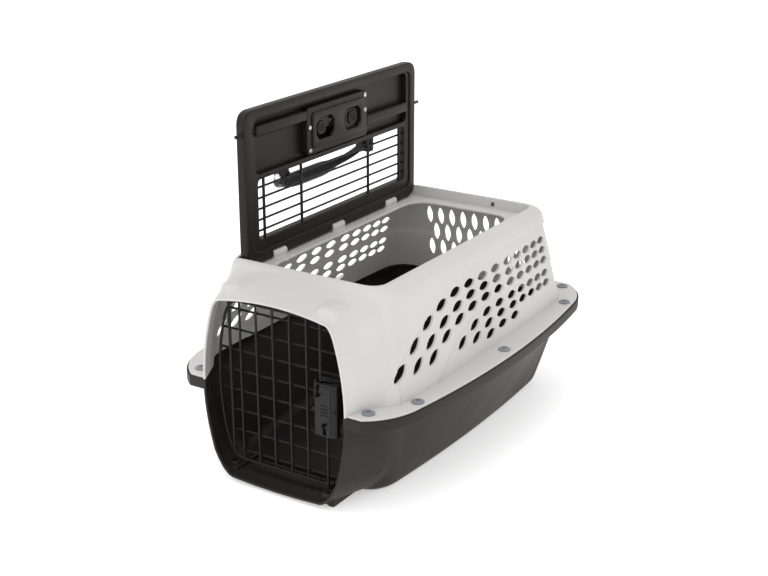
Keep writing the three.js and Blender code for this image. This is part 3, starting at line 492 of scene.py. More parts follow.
def porchSection(y, moved=0):
    back = y - body["front"]
    widening = rim["widening"] * min(back, rim["depth"]) / rim["depth"] + max(0, back - rim["depth"]) * 0.1
    stretch = (rim["halfWidth"] + widening) / rim["halfWidth"]
    top = rim["top"] + (body["top"] - 0.6 - rim["top"]) * min(1, back / rim["hoodRun"])
    half = rim["halfWidth"] * stretch

    def sideX(z):
        return half - rim["sideSink"] * (z - rim["waist"]) ** 2 * stretch

    arch = (0.73 * half, top - rim["archDrop"])
    right = [(0.3 * half, rim["bottom"] + 0.5)]
    right += bezier((0.62 * half, rim["bottom"] + 2), (sideX(8) * 0.965, 8), (sideX(34), 34), 10)
    right += [(sideX(z), z) for z in (50, 65, 80, 92, 104, 114, 127, 140, 154, 168, 181)]
    right += bezier((sideX(193), 193), (sideX(207) * 0.985, arch[1] - 1), arch, 10)
    for share in (0.83, 0.66, 0.5, 0.33, 0.16):
        right.append((arch[0] * share, top - rim["archDrop"] * share * share))
    left = [(-x, z) for x, z in reversed(right)]
    outline = inset(right + [(0, top)] + left + [(0, rim["bottom"])], moved)
    return [(x, y, z) for x, z in outline]


def porch(moved):
    places = [-262, -247, -238, -229, -220, -211, -202, -192, -184, -177, -168, -157]
    return loft("porch", [porchSection(y, moved) for y in places])


def flangePlan(moved):
    half, end = flange["halfWidth"], flange["halfLength"] - flange["cornerLength"]
    corner = bezier((half - flange["bow"], end), (half - flange["bow"] - 8, flange["halfLength"] - 17),
                    (half - flange["cornerWidth"], flange["halfLength"]), 12)
    right = [(x, -y) for x, y in reversed(corner)]
    right += [(half - flange["bow"] * (i / 12) ** 2, end * i / 12) for i in range(-11, 12)]
    right += corner
    return inset(right + [(-x, y) for x, y in reversed(right)], moved)


def shellForm(moved, top):
    rings = [(z, moved) for z in (96, 130, 165, 200, top - shell["shoulder"])]
    for i in range(1, 7):
        angle = math.pi / 12 * i
        rings.append((top - shell["shoulder"] * (1 - math.sin(angle)),
                      moved + shell["shoulder"] * (1 - math.cos(angle))))
    return loft("shellForm", [[(x, y, z) for x, y in shellPlan(z, shift)] for z, shift in rings])


def panelEdges(y):
    # heights of the two steps above and between the rows of vents
    ahead = max(0, -y)
    upper = 219.5 - 0.0018 * ahead ** 2 - 5.5 * max(0, -186 - y)
    lower = 169.5 - 0.003 * max(0, 10 - y) ** 2
    return upper, lower


def smoothstep(value, low, high):
    t = min(1, max(0, (value - low) / (high - low)))
    return t * t * (3 - 2 * t)


def sinkPanels(obj):
    normals = [vert.normal.copy() for vert in obj.data.vertices]
    for vert, normal in zip(obj.data.vertices, normals):
        _, y, z = vert.co / mm
        outward = abs(normal.x) if y < 165 else 1
        if z < shell["panelFoot"] or y < shell["panelFront"] or outward < 0.3 or normal.z > 0.75:
            continue
        upper, lower = panelEdges(y)
        step = shell["panelStep"] * smoothstep(upper - z, -0.5, 1.8)
        step += shell["secondStep"] * smoothstep(lower - z, -0.5, 1.6)
        side = Vector((normal.x, normal.y, 0)).normalized()
        vert.co -= side * step * mm * smoothstep(y, shell["panelFront"], shell["panelFront"] + 6)


def ventLeaf(length, width):
    # pointed at both ends
    half = []
    for i in range(10):
        share = math.cos(math.pi * i / 10)
        half.append((length / 2 * share, width / 2 * (1 - share * share) ** 0.78))
    return half + [(-a, -b) for a, b in half]


vents = {"length": 26, "width": 10.6, "shorter": 0.024, "narrower": 0.018, "firstY": -183, "pitch": 31,
         "evenColumns": 8, "rearPitch": 26.4, "rearCloser": 0.9,
         "endLength": 24, "endWidth": 8.8, "endPitch": 16.7, "endRows": ((197, 9), (174, 8), (151, 9))}
# height, where the row starts to bend down, how fast, first column, last column
ventRows = [(202, -40, 0.0026, 0, 12), (190, -10, 0.0021, 1, 12), (177.5, 0, 0.0021, 2, 12),
            (161, 25, 0.0026, 4, 12), (149, 35, 0.0026, 5, 12), (136, 35, 0.0026, 6, 8)]
# distance out of the wall, and how far the leaf is inset there
ventFlare = [(3, -0.95), (0.02, -0.9), (-0.3, -0.42), (-0.8, -0.1), (-1.4, 0), (-16, 0)]


def ventCutter(skin, leaf, sideways):
    # leaf points are (along the wall, height); the wall is found by a ray towards it
    def wallAt(a, z):
        start = Vector((250, a, z)) if sideways else Vector((a, 300, z))
        inward = Vector((-1, 0, 0)) if sideways else Vector((0, -1, 0))
        hit, place, _, _ = skin.ray_cast(start * mm, inward)
        return (place.x if sideways else place.y) / mm if hit else None

    walls = [wallAt(a, z) for a, z in leaf]
    if None in walls:
        return None
    rings = []
    for out, moved in ventFlare:
        ring = inset(leaf, moved)
        places = [(wall + out, a, z) for wall, (a, z) in zip(walls, ring)]
        rings.append(places if sideways else [(a, place, z) for place, a, z in places])
    return rings


def ventCutters(skin):
    rounds = len(ventFlare)
    leafPoints = ventLeaf(24, 9)
    pattern = loft("vent", [[(k, a, z) for a, z in leafPoints] for k in range(rounds)])
    numbers = {(k, round(a, 2), round(z, 2)): k * len(leafPoints) + i
               for k in range(rounds) for i, (a, z) in enumerate(leafPoints)}
    order = [numbers[(round(v.co.x / mm), round(v.co.y / mm, 2), round(v.co.z / mm, 2))]
             for v in pattern.data.vertices]
    cutters = []

    def addVent(rings):
        # a copy of the pattern with its corners put on the wall
        vent = pattern.copy()
        vent.data = pattern.data.copy()
        bpy.context.scene.collection.objects.link(vent)
        flat = [point for ring in rings for point in ring]
        for vert, number in zip(vent.data.vertices, order):
            vert.co = Vector(flat[number]) * mm
        cutters.append(vent)

    for height, bendFrom, sink, first, last in ventRows:
        for column in range(first, last + 1):
            past = max(0, column - vents["evenColumns"])
            y = vents["firstY"] + vents["pitch"] * (column - past)
            y += (vents["rearPitch"] - vents["rearCloser"] * past) * past
            before = max(0, bendFrom - y)
            z = height - sink * before ** 2
            slope = math.atan(2 * sink * before)
            length = vents["length"] * (1 - vents["shorter"] * column)
            width = vents["width"] * (1 - vents["narrower"] * column)
            sine, cosine = math.sin(slope), math.cos(slope)
            leaf = [(y + a * cosine - b * sine, z + a * sine + b * cosine)
                    for a, b in ventLeaf(length, width)]
            rings = ventCutter(skin, leaf, True)
            if rings:
                addVent(rings)
                addVent([[(-x, y, z) for x, y, z in ring] for ring in rings])
    for z, count in vents["endRows"]:
        for i in range(count):
            x = (i - (count - 1) / 2) * vents["endPitch"]
            leaf = [(x - b, z + a) for a, b in ventLeaf(vents["endLength"], vents["endWidth"])]
            rings = ventCutter(skin, leaf, False)
            if rings:
                addVent(rings)
    bpy.data.objects.remove(pattern)
    joined = joinAll(cutters)
    bpy.ops.object.mode_set(mode="EDIT")
    bpy.ops.mesh.select_all(action="SELECT")
    bpy.ops.mesh.normals_make_consistent(inside=False)
    bpy.ops.object.mode_set(mode="OBJECT")
    return joined


def beadAlongRim(low, high):
    bead = wire("bead", porchSection(body["front"] + rim["bead"], 1.25), rim["bead"], closed=True)
    return combine(bead, [block(-200, 200, -300, -200, low, high)], "INTERSECT")


recess = {"halfLength": 178, "hingeX": -96, "freeX": 90, "squareTo": -66, "corner": 19, "floor": 224.4,
          "openingHalfWidth": 70, "openingHalfLength": 160, "openingCorner": 30,
          "slots": ((63, -176, -1), (33, 176, 1)), "slotHalf": 2.6, "slotReach": 11.6,
          "slotLow": 226.5, "slotHigh": 232.2}


def recessCutter(grow, low, flare):
    # round corners on the free side, square ones where the open lid stands
    half, far, near = recess["halfLength"] + grow, recess["hingeX"] - grow, recess["freeX"] + grow
    plate = softened([(far, -half), (near, -half), (near, half), (far, half)], recess["corner"] + grow, 8)
    square = recess["squareTo"]
    foot = [(far, -half), (square, -half), (square, half), (far, half)]
    high = body["top"] if flare else body["top"] + 8
    pieces = [prism("recess", "Z", outline, low, high, 0, -flare) for outline in (plate, foot)]
    return combine(pieces[0], pieces[1:], "UNION")


hinge = {"x": -84, "z": 229, "pitch": 118, "length": 24, "radius": 5, "bore": 2.3}
hingePlaces = (-hinge["pitch"], 0, hinge["pitch"])


def hingeKnuckle(y):
    half = hinge["length"] / 2
    centre = (hinge["x"], y - half, hinge["z"])
    knuckle = pin("knuckle", centre, (hinge["x"], y + half, hinge["z"]), hinge["radius"], 0.8, 32)
    outline = [(-88.2, 223), (-79.8, 223), (-79.4, 229), (-88.6, 229)]
    foot = prism("foot", "Y", outline, y - half, y + half, 0.8, 0.8)
    bore = turned("bore", (hinge["x"], y - half - 1, hinge["z"]), (0, 1, 0),
                  [(0, hinge["bore"]), (hinge["length"] + 2, hinge["bore"])])
    return combine(combine(knuckle, [foot], "UNION"), [bore])


def shellSkin(moved, voxel, softness):
    parts = [shellForm(moved, body["top"] - moved), porch(moved)]
    if not moved:
        for x, y in shell["pads"]:
            pad = rectangle(x - 13, x + 13, y - 11, y + 17, 6)
            parts.append(prism("pad", "Z", pad, 206, shell["padTop"], 0, 2.5))
    skin = melt(joinAll(parts), voxel, softness)
    sinkPanels(skin)
    return skin


def aheadOfRim():
    return block(-200, 200, -300, body["front"] + rim["bead"], -60, 260)


boltPlaces = []
for i in range(1, 11):
    lowCorner, highCorner = boxOf(f"flange_bolt_{i}")
    boltPlaces.append(((lowCorner.x + highCorner.x) / 2, (lowCorner.y + highCorner.y) / 2))


def boltHoles():
    return [pin("boltHole", (x, y, 90), (x, y, 125), 2.9, 0.1) for x, y in boltPlaces]


def makeShell():
    skin = shellSkin(0, shell["voxel"], shell["softness"])
    leaves = ventCutters(skin)
    low = body["parting"] + body["gap"]
    combine(skin, [block(-200, 200, -300, 260, -60, low + 1), aheadOfRim()])
    plate = prism("flange", "Z", flangePlan(flange["lipProud"]), low, low + flange["thickness"], 0.25, 1.1)
    combine(skin, [plate], "UNION")
    hollow = shellSkin(body["wall"], 4, 8)
    combine(hollow, [recessCutter(body["wall"], recess["floor"] - body["wall"], 0)])
    combine(skin, [hollow, recessCutter(0, recess["floor"], 2.2), leaves])
    halfWidth, halfLength = recess["openingHalfWidth"], recess["openingHalfLength"]
    outline = rectangle(-halfWidth, halfWidth, -halfLength, halfLength, recess["openingCorner"], 10)
    tools = [prism("opening", "Z", outline, 216, recess["floor"], 0, -1.2)]
    for x, y, end in recess["slots"]:
        near, far = ordered(y, y + end * recess["slotReach"])
        half = recess["slotHalf"]
        tools.append(block(x - half, x + half, near, far, recess["slotLow"], recess["slotHigh"]))
    for x, y, top in ((-70, -227, 223.5), (54, -233, 224.5)):
        tools.append(pin("keeper", (x, y, 190), (x, y, top), 2.6, 0.1))
    combine(skin, tools)
    combine(skin, boltHoles())
    combine(skin, [beadAlongRim(low, 260)] + [hingeKnuckle(y) for y in hingePlaces], "UNION")
    return finish(skin, "shell_top", "carrier", "shell_plastic", finishes["shell_plastic"], "top_shell")


tub = {"floorHalfWidth": 105, "topHalfWidth": 157, "floorFront": -192, "topFront": -226, "floorRear": 204,
       "topRear": 214, "corner": 45, "floorBow": 8, "topBow": 43, "flare": 100, "lipDepth": 12,
       "lipSkirt": 2.5, "voxel": 3.2, "softness": 6, "footX": 66,
       "sockets": ((-70, -227, 10), (62, -233, 8.6))}


def tubPlan(z, moved=0):
    share = min(1, max(0, z) / tub["flare"])

    def mix(low, high):
        return tub[low] + (tub[high] - tub[low]) * share

    plan = barrelPlan(mix("floorHalfWidth", "topHalfWidth"), mix("floorFront", "topFront"),
                      mix("floorRear", "topRear"), mix("floorBow", "topBow"), tub["corner"] - 4 * share)
    return inset(plan, moved)


def tubForm(rings):
    return loft("tubForm", [[(x, y, z) for x, y in tubPlan(z, moved)] for z, moved in rings])


def makeTub():
    high = body["parting"] - body["gap"]
    wall = body["wall"]
    outer = tubForm([(-14, 16), (0, 8), (0.7, 5), (2.4, 2.4), (5, 0.7), (8, 0),
                     (40, 0), (70, 0), (100, 0), (132, 0)])
    skin = melt(joinAll([outer, porch(0)]), tub["voxel"], tub["softness"])
    combine(skin, [block(-200, 200, -260, 260, high - 1, 280), aheadOfRim(),
                   block(-200, 200, -260, 260, -60, 0.02)])
    lip = prism("lip", "Z", flangePlan(0), body["parting"] - tub["lipDepth"], high, 0.8, 0.6)
    under = prism("under", "Z", flangePlan(tub["lipSkirt"]), 90, high - wall)
    combine(skin, [combine(lip, [under])], "UNION")
    hollowRings = [(wall, wall + 6.4), (4, wall + 3), (8, wall), (50, wall), (100, wall),
                   (high - wall, wall)]
    hollow = melt(joinAll([tubForm(hollowRings), porch(wall)]), 4, 4)
    mouth = prism("mouth", "Z", shellPlan(body["parting"], wall), high - wall - 1, high, 0, -0.6)
    combine(mouth, [tubForm([(90, wall), (130, wall)])], "INTERSECT")
    combine(hollow, [mouth], "UNION")
    combine(skin, [hollow])
    inner = []
    for side in (-1, 1):
        x = side * tub["footX"]
        inner.append(prism("foot", "Z", rectangle(x - 4.5, x + 4.5, -236, -190, 3), 0.05, 12, 1.5, 2))
    for x, y, _ in tub["sockets"]:
        inner.append(prism("boss", "Z", rectangle(x - 6, x + 6, y - 6, y + 6, 3), 4, 16, 0, 1.2))
    for y, top in ((-216, 12), (-207, 13.5), (-198, 15)):
        inner.append(prism("rib", "Z", rectangle(-54, 54, y - 1.6, y + 1.6, 1.5), 3.5, top, 0, 1))
    combine(skin, inner, "UNION")
    combine(skin, [pin("socket", (x, y, low), (x, y, 20), 2.6, 0.1) for x, y, low in tub["sockets"]])
    combine(skin, boltHoles())
    combine(skin, [beadAlongRim(-20, high)], "UNION")
    return finish(skin, "tub", "carrier", "tub_plastic", finishes["tub_plastic"], "base_tub")


makeShell()
report("top shell")
makeTub()
report("tub")


bolt = {"tip": 107.05, "seat": 119.05, "shank": 2.6, "head": 7, "crossHalf": 3.2,
        "nutTop": 113.05, "nut": 5.5}


def crossRecess(half, width, low, high):
    arm = block(-half, half, -width, width, low, high)
    return combine(arm, [block(-width, width, -half, half, low, high)], "UNION")


def makeBolts():
    reach, head = bolt["seat"] - bolt["tip"], bolt["head"]
    pattern = turned("bolt", (0, 0, bolt["tip"]), (0, 0, 1), [
        (0, 2), (0.6, bolt["shank"]), (reach, bolt["shank"]), (reach, head - 0.5), (reach + 0.3, head),
        (reach + 0.8, head), (reach + 1.25, head - 0.45), (reach + 1.75, head - 1.6),
        (reach + 2.15, head - 3.4), (reach + 2.35, head - 5.8)], 32)
    combine(pattern, [crossRecess(bolt["crossHalf"], 0.75, bolt["seat"] + 1.2, bolt["seat"] + 4)])
    nut = turned("nut", (0, 0, bolt["nutTop"] - 4), (0, 0, 1),
                 [(0, bolt["nut"] - 0.7), (0.6, bolt["nut"]), (3.4, bolt["nut"]), (4, bolt["nut"] - 0.7)], 6)
    combine(nut, [pin("bore", (0, 0, 100), (0, 0, 120), bolt["shank"] + 0.3, 0.1)])
    for i, (x, y) in enumerate(boltPlaces, 1):
        finish(copyTo(pattern, "bolt", (x, y, 0)), f"bolt_{i:02d}", "carrier", "bolt_plastic",
               finishes["bolt_plastic"], f"flange_bolt_{i}")
        finish(copyTo(nut, "nut", (x, y, 0)), f"nut_{i:02d}", "carrier", "bolt_plastic",
               finishes["bolt_plastic"], f"flange_nut_{i}")
    bpy.data.objects.remove(pattern)
    bpy.data.objects.remove(nut)


def makeHingePins():
    for i in range(1, len(hingePlaces) + 1):
        node = f"lid_hinge_pin_{i}"
        low, high = boxOf(node)
        made = pin("pin", (hinge["x"], low.y, hinge["z"]), (hinge["x"], high.y, hinge["z"]), 2, 0.5, 32)
        finish(made, f"hinge_pin_{i}", "carrier", "bright_steel", finishes["bright_steel"], node)


makeBolts()
makeHingePins()
report("bolts and pins")


door = {"y": -227, "low": 21, "high": 208.5, "rimWire": 1.6, "wire": 1.3, "hingeX": -70, "hingeWire": 1.75,
        "columns": 5, "firstColumn": -56, "columnPitch": 22, "rows": 8, "firstRow": 31, "rowPitch": 23.9}


def doorHalf(z):
    return rim["halfWidth"] - rim["sideSink"] * (z - rim["waist"]) ** 2 - 7.5


def makeDoor():
    y, low, high = door["y"], door["low"], door["high"]
    side = [(30, low), (60, low + 1), (doorHalf(low + 12) * 0.955, low + 10)]
    side += [(doorHalf(z), z) for z in (45, 75, 114, 155, 188)]
    side += [(doorHalf(202) * 0.96, high - 7), (60, high - 0.5), (30, high)]
    loop = [(0, low)] + side + [(0, high)] + [(-x, z) for x, z in reversed(side)]
    path = smoothPath([(x, y, z) for x, z in loop], closed=True)
    grille = wire("grille", path, door["rimWire"], closed=True)
    uprights = []
    for i in range(door["columns"]):
        x = door["firstColumn"] + door["columnPitch"] * i
        uprights.append(wire("upright", [(x, y, low - 0.5), (x, y, high + 0.5)], door["wire"]))
    uprights = joinAll(uprights)
    rails = []
    for i in range(door["rows"]):
        z = door["firstRow"] + door["rowPitch"] * i
        half, railY = doorHalf(z) + 0.8, y + door["rimWire"] + door["wire"] - 0.4
        rails.append(wire("rail", [(-half, railY, z), (half, railY, z)], door["wire"]))
    low, high = boxOf("door_grille")
    rod = wire("rod", [(door["hingeX"], y, low.z), (door["hingeX"], y, high.z)], door["hingeWire"])
    combine(grille, [uprights, joinAll(rails), rod], "UNION")
    finish(grille, "door_wires", "front_door", "coated_wire", finishes["coated_wire"], "door_grille",
           angle=50)


latch = {"upperX": 54, "lowerX": 62, "y": -233, "upperHook": 130, "lowerHook": 97, "rod": 1.6, "play": 0.5,
         "travel": 10, "left": 45, "right": 76, "low": 83, "high": 143, "front": -239.2, "back": -229.4,
         "wall": 2, "ribs": 4, "ribPitch": 3.6}


def makeDoorLatch():
    left, right, front, back = latch["left"], latch["right"], latch["front"], latch["back"]
    low, high, wallSize = latch["low"], latch["high"], latch["wall"]
    outline = softened([(left, back), (left, back - 4.4), (left + 5, front + 0.8), (right - 5, front + 0.8),
                        (right, front + 4), (right, back)], 0.9, 3)
    housing = prism("housing", "Z", outline, low, high, 1, 1)
    outline = rectangle(left + 6, right - 6, low + 2.5, high - 2.5, 2.5)
    combine(housing, [prism("facing", "Y", outline, front, front + 2, 0.7, 0)], "UNION")
    half, travel = latch["rod"] + latch["play"], latch["travel"]
    upperX, upperHook = latch["upperX"], latch["upperHook"]
    lowerX, lowerHook = latch["lowerX"], latch["lowerHook"]
    tools = [block(left + wallSize, right - wallSize, front + wallSize + 0.6, back + 1,
                   low + wallSize, high - wallSize)]
    for x, z0, z1 in ((upperX, upperHook - half, upperHook + travel + half),
                      (lowerX, lowerHook - travel - half, lowerHook + half)):
        tools.append(prism("slot", "Y", rectangle(x - half, x + half, z0, z1, 1), front, back, -0.45, 0))
    for x, z0, z1 in ((upperX, upperHook, high + 1), (lowerX, low - 1, lowerHook)):
        tools.append(block(x - half, x + half, latch["y"] - half, back + 1, z0, z1))
    combine(housing, tools)
    web = (low + high) / 2
    extras = [block(left + 1, right - 1, front + 1, back, web - 1, web + 1)]
    for i in range(latch["ribs"]):
        z = web + latch["ribPitch"] * (i - (latch["ribs"] - 1) / 2)
        outline = rectangle(left + 12, right - 10, z - 0.7, z + 0.7, 0.6, 3)
        extras.append(prism("rib", "Y", outline, front - 0.9, front + 0.5, 0.4, 0))
    combine(housing, extras, "UNION")
    finish(housing, "latch_housing", "front_door", "latch_plastic", finishes["latch_plastic"],
           "door_latch_housing")

    low, high = boxOf("door_latch_plate")
    plate = prism("plate", "Y", rectangle(low.x, high.x, low.z, high.z, 4), low.y, high.y, 0.8, 0.8)
    finish(plate, "latch_plate", "front_door", "latch_plastic", finishes["latch_plastic"],
           "door_latch_plate")

    for side, x, hook in (("upper", upperX, upperHook), ("lower", lowerX, lowerHook)):
        low, high = boxOf(f"door_latch_rod_{side}")
        tip = high.z if side == "upper" else low.z
        towards = 4 if side == "upper" else -4
        bend = bezier((x, latch["y"], hook + towards), (x, latch["y"], hook), (x, latch["y"] - 4, hook), 8)
        rod = wire("rod", [(x, latch["y"], tip), *bend, (x, low.y, hook)], latch["rod"])
        finish(rod, f"latch_rod_{side}", f"door_latch_{side}", "coated_wire", finishes["coated_wire"],
               f"door_latch_rod_{side}", angle=50)


def makeSpring(name, body, node, start, end, radius, wireRadius, turns):
    start, end = Vector(start), Vector(end)
    along = (end - start).normalized()
    across = along.orthogonal().normalized()
    third = along.cross(across)
    steps = turns * 14
    path = []
    for i in range(steps + 1):
        angle, share = math.tau * turns * i / steps, i / steps
        share = min(1, max(0, (share - 0.08) / 0.84))  # closed end turns
        outward = across * math.cos(angle) + third * math.sin(angle)
        path.append(start + (end - start) * share + outward * radius)
    coil = wire("spring", path, wireRadius, detail=1)
    finish(coil, name, body, "bright_steel", finishes["bright_steel"], node, angle=60)


makeDoor()
makeDoorLatch()
makeSpring("spring_upper", "front_door", "door_latch_spring_upper",
           (latch["upperX"], latch["y"], 114.8), (latch["upperX"], latch["y"], 127.6), 1.9, 0.35, 7)
makeSpring("spring_lower", "front_door", "door_latch_spring_lower",
           (latch["lowerX"], latch["y"], 99.4), (latch["lowerX"], latch["y"], 111.2), 1.9, 0.35, 7)
report("front door")


lid = {"outer": -93, "inner": -81, "half": 176, "low": 226, "high": 401, "corner": 17, "panel": 3,
       "stepHalf": 163, "stepLow": 240, "stepHigh": 390.5, "stepDepth": 1.8,
       "trayHalf": 156, "trayLow": 327, "trayHigh": 389,
       "windowHalf": 152, "windowLow": 252, "windowHigh": 321}
rods = {"x": -84.5, "radius": 2, "frontZ": 376, "rearZ": 346}
lidWires = {"x": -87, "half": 156, "rails": 5, "firstRail": 261, "railPitch": 12.5, "rail": 1.3,
            "bars": (-141, -70, 70, 141), "bar": 1.7}
ends = (("front", -1, rods["frontZ"]), ("rear", 1, rods["rearZ"]))
spring = {"x": -86.1, "z": 361, "half": 11, "radius": 2.1, "wire": 0.45, "turns": 9}
handle = {"x": -100.5, "z": 308, "half": 80, "rise": 33, "eye": 6.5, "pin": 2.5, "droop": 40,
          "grooves": 7, "groovePitch": 9}


def screwPlaces():
    places = []
    for i in range(1, 5):
        low, high = boxOf(f"lid_cover_screw_{i}")
        places.append(((low.y + high.y) / 2, (low.z + high.z) / 2))
    return places


def makeLidFrame():
    outer, inner, floorX = lid["outer"], lid["inner"], lid["inner"] - lid["stepDepth"]
    outline = rectangle(-lid["half"], lid["half"], lid["low"], lid["high"], lid["corner"], 10)
    frameBody = prism("lid", "X", outline, outer, inner, 2.2, 2.6)
    step = rectangle(-lid["stepHalf"], lid["stepHalf"], lid["stepLow"], lid["stepHigh"], 11, 8)
    tray = rectangle(-lid["trayHalf"], lid["trayHalf"], lid["trayLow"], lid["trayHigh"], 8, 6)
    window = rectangle(-lid["windowHalf"], lid["windowHalf"], lid["windowLow"], lid["windowHigh"], 6, 6)
    tools = [prism("step", "X", step, floorX, inner, 0, -1.2),
             prism("tray", "X", tray, outer + lid["panel"], floorX, 0, -0.8),
             prism("window", "X", window, outer, floorX, -1, -1),
             prism("field", "X", rectangle(-158, 158, 333, 387, 8, 6), outer, outer + 0.8, -0.5, 0)]
    x, axisZ = hinge["x"], hinge["z"]
    for y in hingePlaces:
        tools.append(pin("notch", (x, y - 13, axisZ), (x, y + 13, axisZ), 6.8, 0.1, 32))
        tools.append(block(-89.5, -80, y - 13, y + 13, 220, axisZ))
        tools.append(pin("bore", (x, y - 19.6, axisZ), (x, y + 19.6, axisZ), hinge["bore"], 0.1))
    for _, end, z in ends:
        near, far = ordered(end * 120, end * 178)
        tools.append(pin("bore", (rods["x"], near, z), (rods["x"], far, z), rods["radius"] + 0.5, 0.1))
        near, far = ordered(end * 11.5, end * 45.5)
        outline = rectangle(near, far, z - 7.6, z + 7.6, 2.5)
        tools.append(prism("slot", "X", outline, outer + 0.8, outer + 5, -0.6, 0))
    combine(frameBody, tools)
    posts = []
    for y, z in screwPlaces():
        posts.append(pin("post", (outer + lid["panel"] - 1, y, z), (inner - 1.5, y, z), 3.8, 0.4))
    for side in (-1, 1):
        low, high = ordered(side * 85, side * 92)
        lug = softened([(-90, 300), (-90, 327), (-97, 325), (-107, 315), (-107, 301.5), (-101, 300)], 4.5)
        posts.append(prism("lug", "Y", lug, low, high, 0.9, 0.9))
    combine(frameBody, posts, "UNION")
    x, z = handle["x"], handle["z"]
    tools = [pin("bore", (x, -96, z), (x, 96, z), handle["pin"] + 0.3, 0.1)]
    tools += [pin("bore", (outer + 1.5, y, z), (inner + 2, y, z), 1.9, 0.1) for y, z in screwPlaces()]
    combine(frameBody, tools)
    finish(frameBody, "lid_shell", "lid", "lid_plastic", finishes["lid_plastic"], "lid_frame")


def makeLidGrille():
    x, half = lidWires["x"], lidWires["half"]
    rails = []
    for i in range(lidWires["rails"]):
        z = lidWires["firstRail"] + lidWires["railPitch"] * i
        rails.append(wire("rail", [(x, -half, z), (x, half, z)], lidWires["rail"]))
    rails = joinAll(rails)
    barX = x + lidWires["rail"] * 2
    bars = [wire("bar", [(barX, y, 248), (barX, y, 324)], lidWires["bar"]) for y in lidWires["bars"]]
    combine(rails, [joinAll(bars)], "UNION")
    finish(rails, "lid_wires", "lid", "coated_wire", finishes["coated_wire"], "lid_grille", angle=50)


def makeLatchCover():
    back, front = lid["outer"] + lid["panel"] + 0.1, -80.2
    cover = prism("cover", "X", rectangle(-62, 62, 329, 384, 5), back, front, 0, 0.9)
    combine(cover, [block(back - 1, front - 2, -61, 61, 330, 383)])
    raised = prism("raised", "X", rectangle(-53, 53, 335.5, 377.5, 5), front - 1, front + 2, 0, 1.3)
    parts = [raised]
    for _, end, z in ends:
        near, far = ordered(end * 61.5, end * 155)
        parts.append(prism("arm", "X", rectangle(near, far, z - 6, z + 6, 3), back, front + 0.3, 0, 2.2))
    combine(cover, parts, "UNION")
    tools = [pin("hole", (front - 3, y, z), (front + 3, y, z), 1.9, 0.1) for y, z in screwPlaces()]
    for _, end, z in ends:
        outline = octagon(end * 28, 356.5, 18, 12.5, 6.5)
        tools.append(prism("finger", "X", outline, front - 3, front + 2, 0, -1.4))
        near, far = ordered(end * 55, end * 160)
        tools.append(pin("channel", (rods["x"], near, z), (rods["x"], far, z), rods["radius"] + 0.6, 0.1))
    combine(cover, tools)
    finish(cover, "latch_cover", "lid", "lid_plastic", finishes["lid_plastic"], "lid_latch_cover")
    pattern = turned("screw", (0, 0, 0), (1, 0, 0), [
        (0, 1.2), (0.5, 1.6), (10.1, 1.6), (10.1, 2.5), (10.3, 2.8), (10.7, 2.75), (11.1, 2.2), (11.3, 1.2)])
    combine(pattern, [block(10.8, 13, -1.5, 1.5, -0.35, 0.35), block(10.8, 13, -0.35, 0.35, -1.5, 1.5)])
    for i, (y, z) in enumerate(screwPlaces(), 1):
        finish(copyTo(pattern, "screw", (-90, y, z)), f"cover_screw_{i}", "lid", "bright_steel",
               finishes["bright_steel"], f"lid_cover_screw_{i}")
    bpy.data.objects.remove(pattern)


def makeSliders():
    for side, end, z in ends:
        node = f"lid_latch_slider_{side}"
        low, high = boxOf(node)
        near, far = ordered(end * 13, end * 52)
        outline = rectangle(near, far, min(z, spring["z"]) - 6, max(z, spring["z"]) + 6, 3)
        slider = prism("slider", "X", outline, -89.7, high.x, 0.6, 0.6)
        buttonY, padY, padZ = end * 34, end * 32, 356.5
        outline = rectangle(buttonY - 11, buttonY + 11, z - 7, z + 7, 3)
        button = prism("button", "X", outline, low.x, -88.7, 1.4, 0)
        pad = prism("pad", "X", octagon(padY, padZ, 8.5, 7.5, 3.5), high.x - 1, high.x + 1.8, 0, 0.8)
        combine(slider, [button, pad], "UNION")
        tools = []
        for offset in (-6, -2, 2, 6):
            y = buttonY + offset
            outline = rectangle(y - 0.9, y + 0.9, z - 5, z + 5, 0.8, 3)
            tools.append(prism("groove", "X", outline, low.x, low.x + 1, -0.4, 0))
            y = padY + offset * 0.75
            outline = rectangle(y - 0.6, y + 0.6, padZ - 5, padZ + 5, 0.5, 3)
            tools.append(prism("groove", "X", outline, high.x + 1, high.x + 1.8, 0, -0.3))
        near, far = ordered(0, end * 24)
        start, stop = (spring["x"], near, spring["z"]), (spring["x"], far, spring["z"])
        tools.append(pin("pocket", start, stop, 3.2, 0.1))
        combine(slider, tools)
        finish(slider, f"slider_{side}", f"lid_latch_{side}", "lid_plastic", finishes["lid_plastic"], node)
        low, high = boxOf(f"lid_latch_rod_{side}")
        rod = pin("rod", (rods["x"], low.y, z), (rods["x"], high.y, z), rods["radius"], 1.1)
        finish(rod, f"lid_rod_{side}", f"lid_latch_{side}", "coated_wire", finishes["coated_wire"],
               f"lid_latch_rod_{side}")


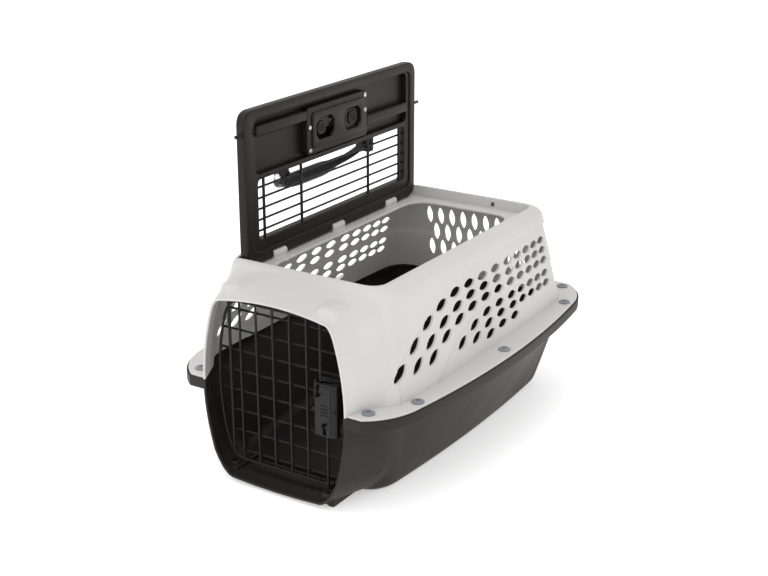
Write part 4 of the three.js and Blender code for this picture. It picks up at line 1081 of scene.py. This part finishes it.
def makeHandle():
    # the grip follows a squarish arch from eye to eye
    steps, sides = 56, 28
    places, rings = [], []
    for i in range(steps + 1):
        angle = math.pi * i / steps
        across, out = math.cos(angle), math.sin(angle)
        places.append(Vector((handle["x"] - handle["rise"] * abs(out) ** 0.62,
                              -handle["half"] * math.copysign(abs(across) ** 0.62, across), 0)))
    for i, place in enumerate(places):
        ahead, behind = places[min(i + 1, steps)], places[max(i - 1, 0)]
        along = (ahead - behind).normalized()
        normal = Vector((along.y, -along.x, 0))
        middle = math.exp(-((place.y / handle["half"] * 1.7) ** 6))
        wide, thick = 4.5 + 4.5 * middle, 4 + 1.6 * middle
        ring = []
        for k in range(sides):
            angle = math.tau * k / sides
            a, b = math.cos(angle), math.sin(angle)
            a, b = math.copysign(abs(a) ** 0.75, a), math.copysign(abs(b) ** 0.75, b)
            ring.append(place + normal * thick * a + Vector((0, 0, handle["z"] + wide * b)))
        rings.append(ring)
    grip = loft("grip", rings)
    x, z = handle["x"], handle["z"]
    eyes, tools = [], []
    for side in (-1, 1):
        near, far = ordered(side * 76, side * 84.5)
        eyes.append(pin("eye", (x, near, z), (x, far, z), handle["eye"], 0.9, 40))
    combine(grip, eyes, "UNION")
    for side in (-1, 1):
        near, far = ordered(side * 79, side * 90)
        tools.append(pin("bore", (x, near, z), (x, far, z), handle["pin"] + 0.3, 0.1))
    for i in range(handle["grooves"]):
        y = (i - (handle["grooves"] - 1) / 2) * handle["groovePitch"]
        tools.append(prism("groove", "Z", rectangle(-141, -138.35, y - 1.4, y + 1.4, 1.2), z - 8, z + 8))
    combine(grip, tools)
    axis = Vector((x, 0, z)) * mm
    droop = Matrix.Rotation(-math.radians(handle["droop"]), 4, "Y")
    grip.data.transform(Matrix.Translation(axis) @ droop @ Matrix.Translation(-axis))
    finish(grip, "grip", "carry_handle", "latch_plastic", finishes["latch_plastic"], "handle")
    for name, side, _ in ends:
        made = turned("pin", (x, side * 79.6, z), (0, side, 0), [
            (0, 2.1), (0.4, 2.5), (12.7, 2.5), (12.7, 4),
            (13, 4.4), (13.8, 4.4), (14.2, 4), (14.4, 3.2)], 32)
        finish(made, f"grip_pin_{name}", "lid", "bright_steel", finishes["bright_steel"],
               f"handle_pin_{name}")


makeLidFrame()
makeLidGrille()
makeLatchCover()
makeSliders()
makeSpring("lid_spring", "lid", "lid_latch_spring", (spring["x"], -spring["half"], spring["z"]),
           (spring["x"], spring["half"], spring["z"]), spring["radius"], spring["wire"], spring["turns"])
report("lid")
makeHandle()
report("handle")
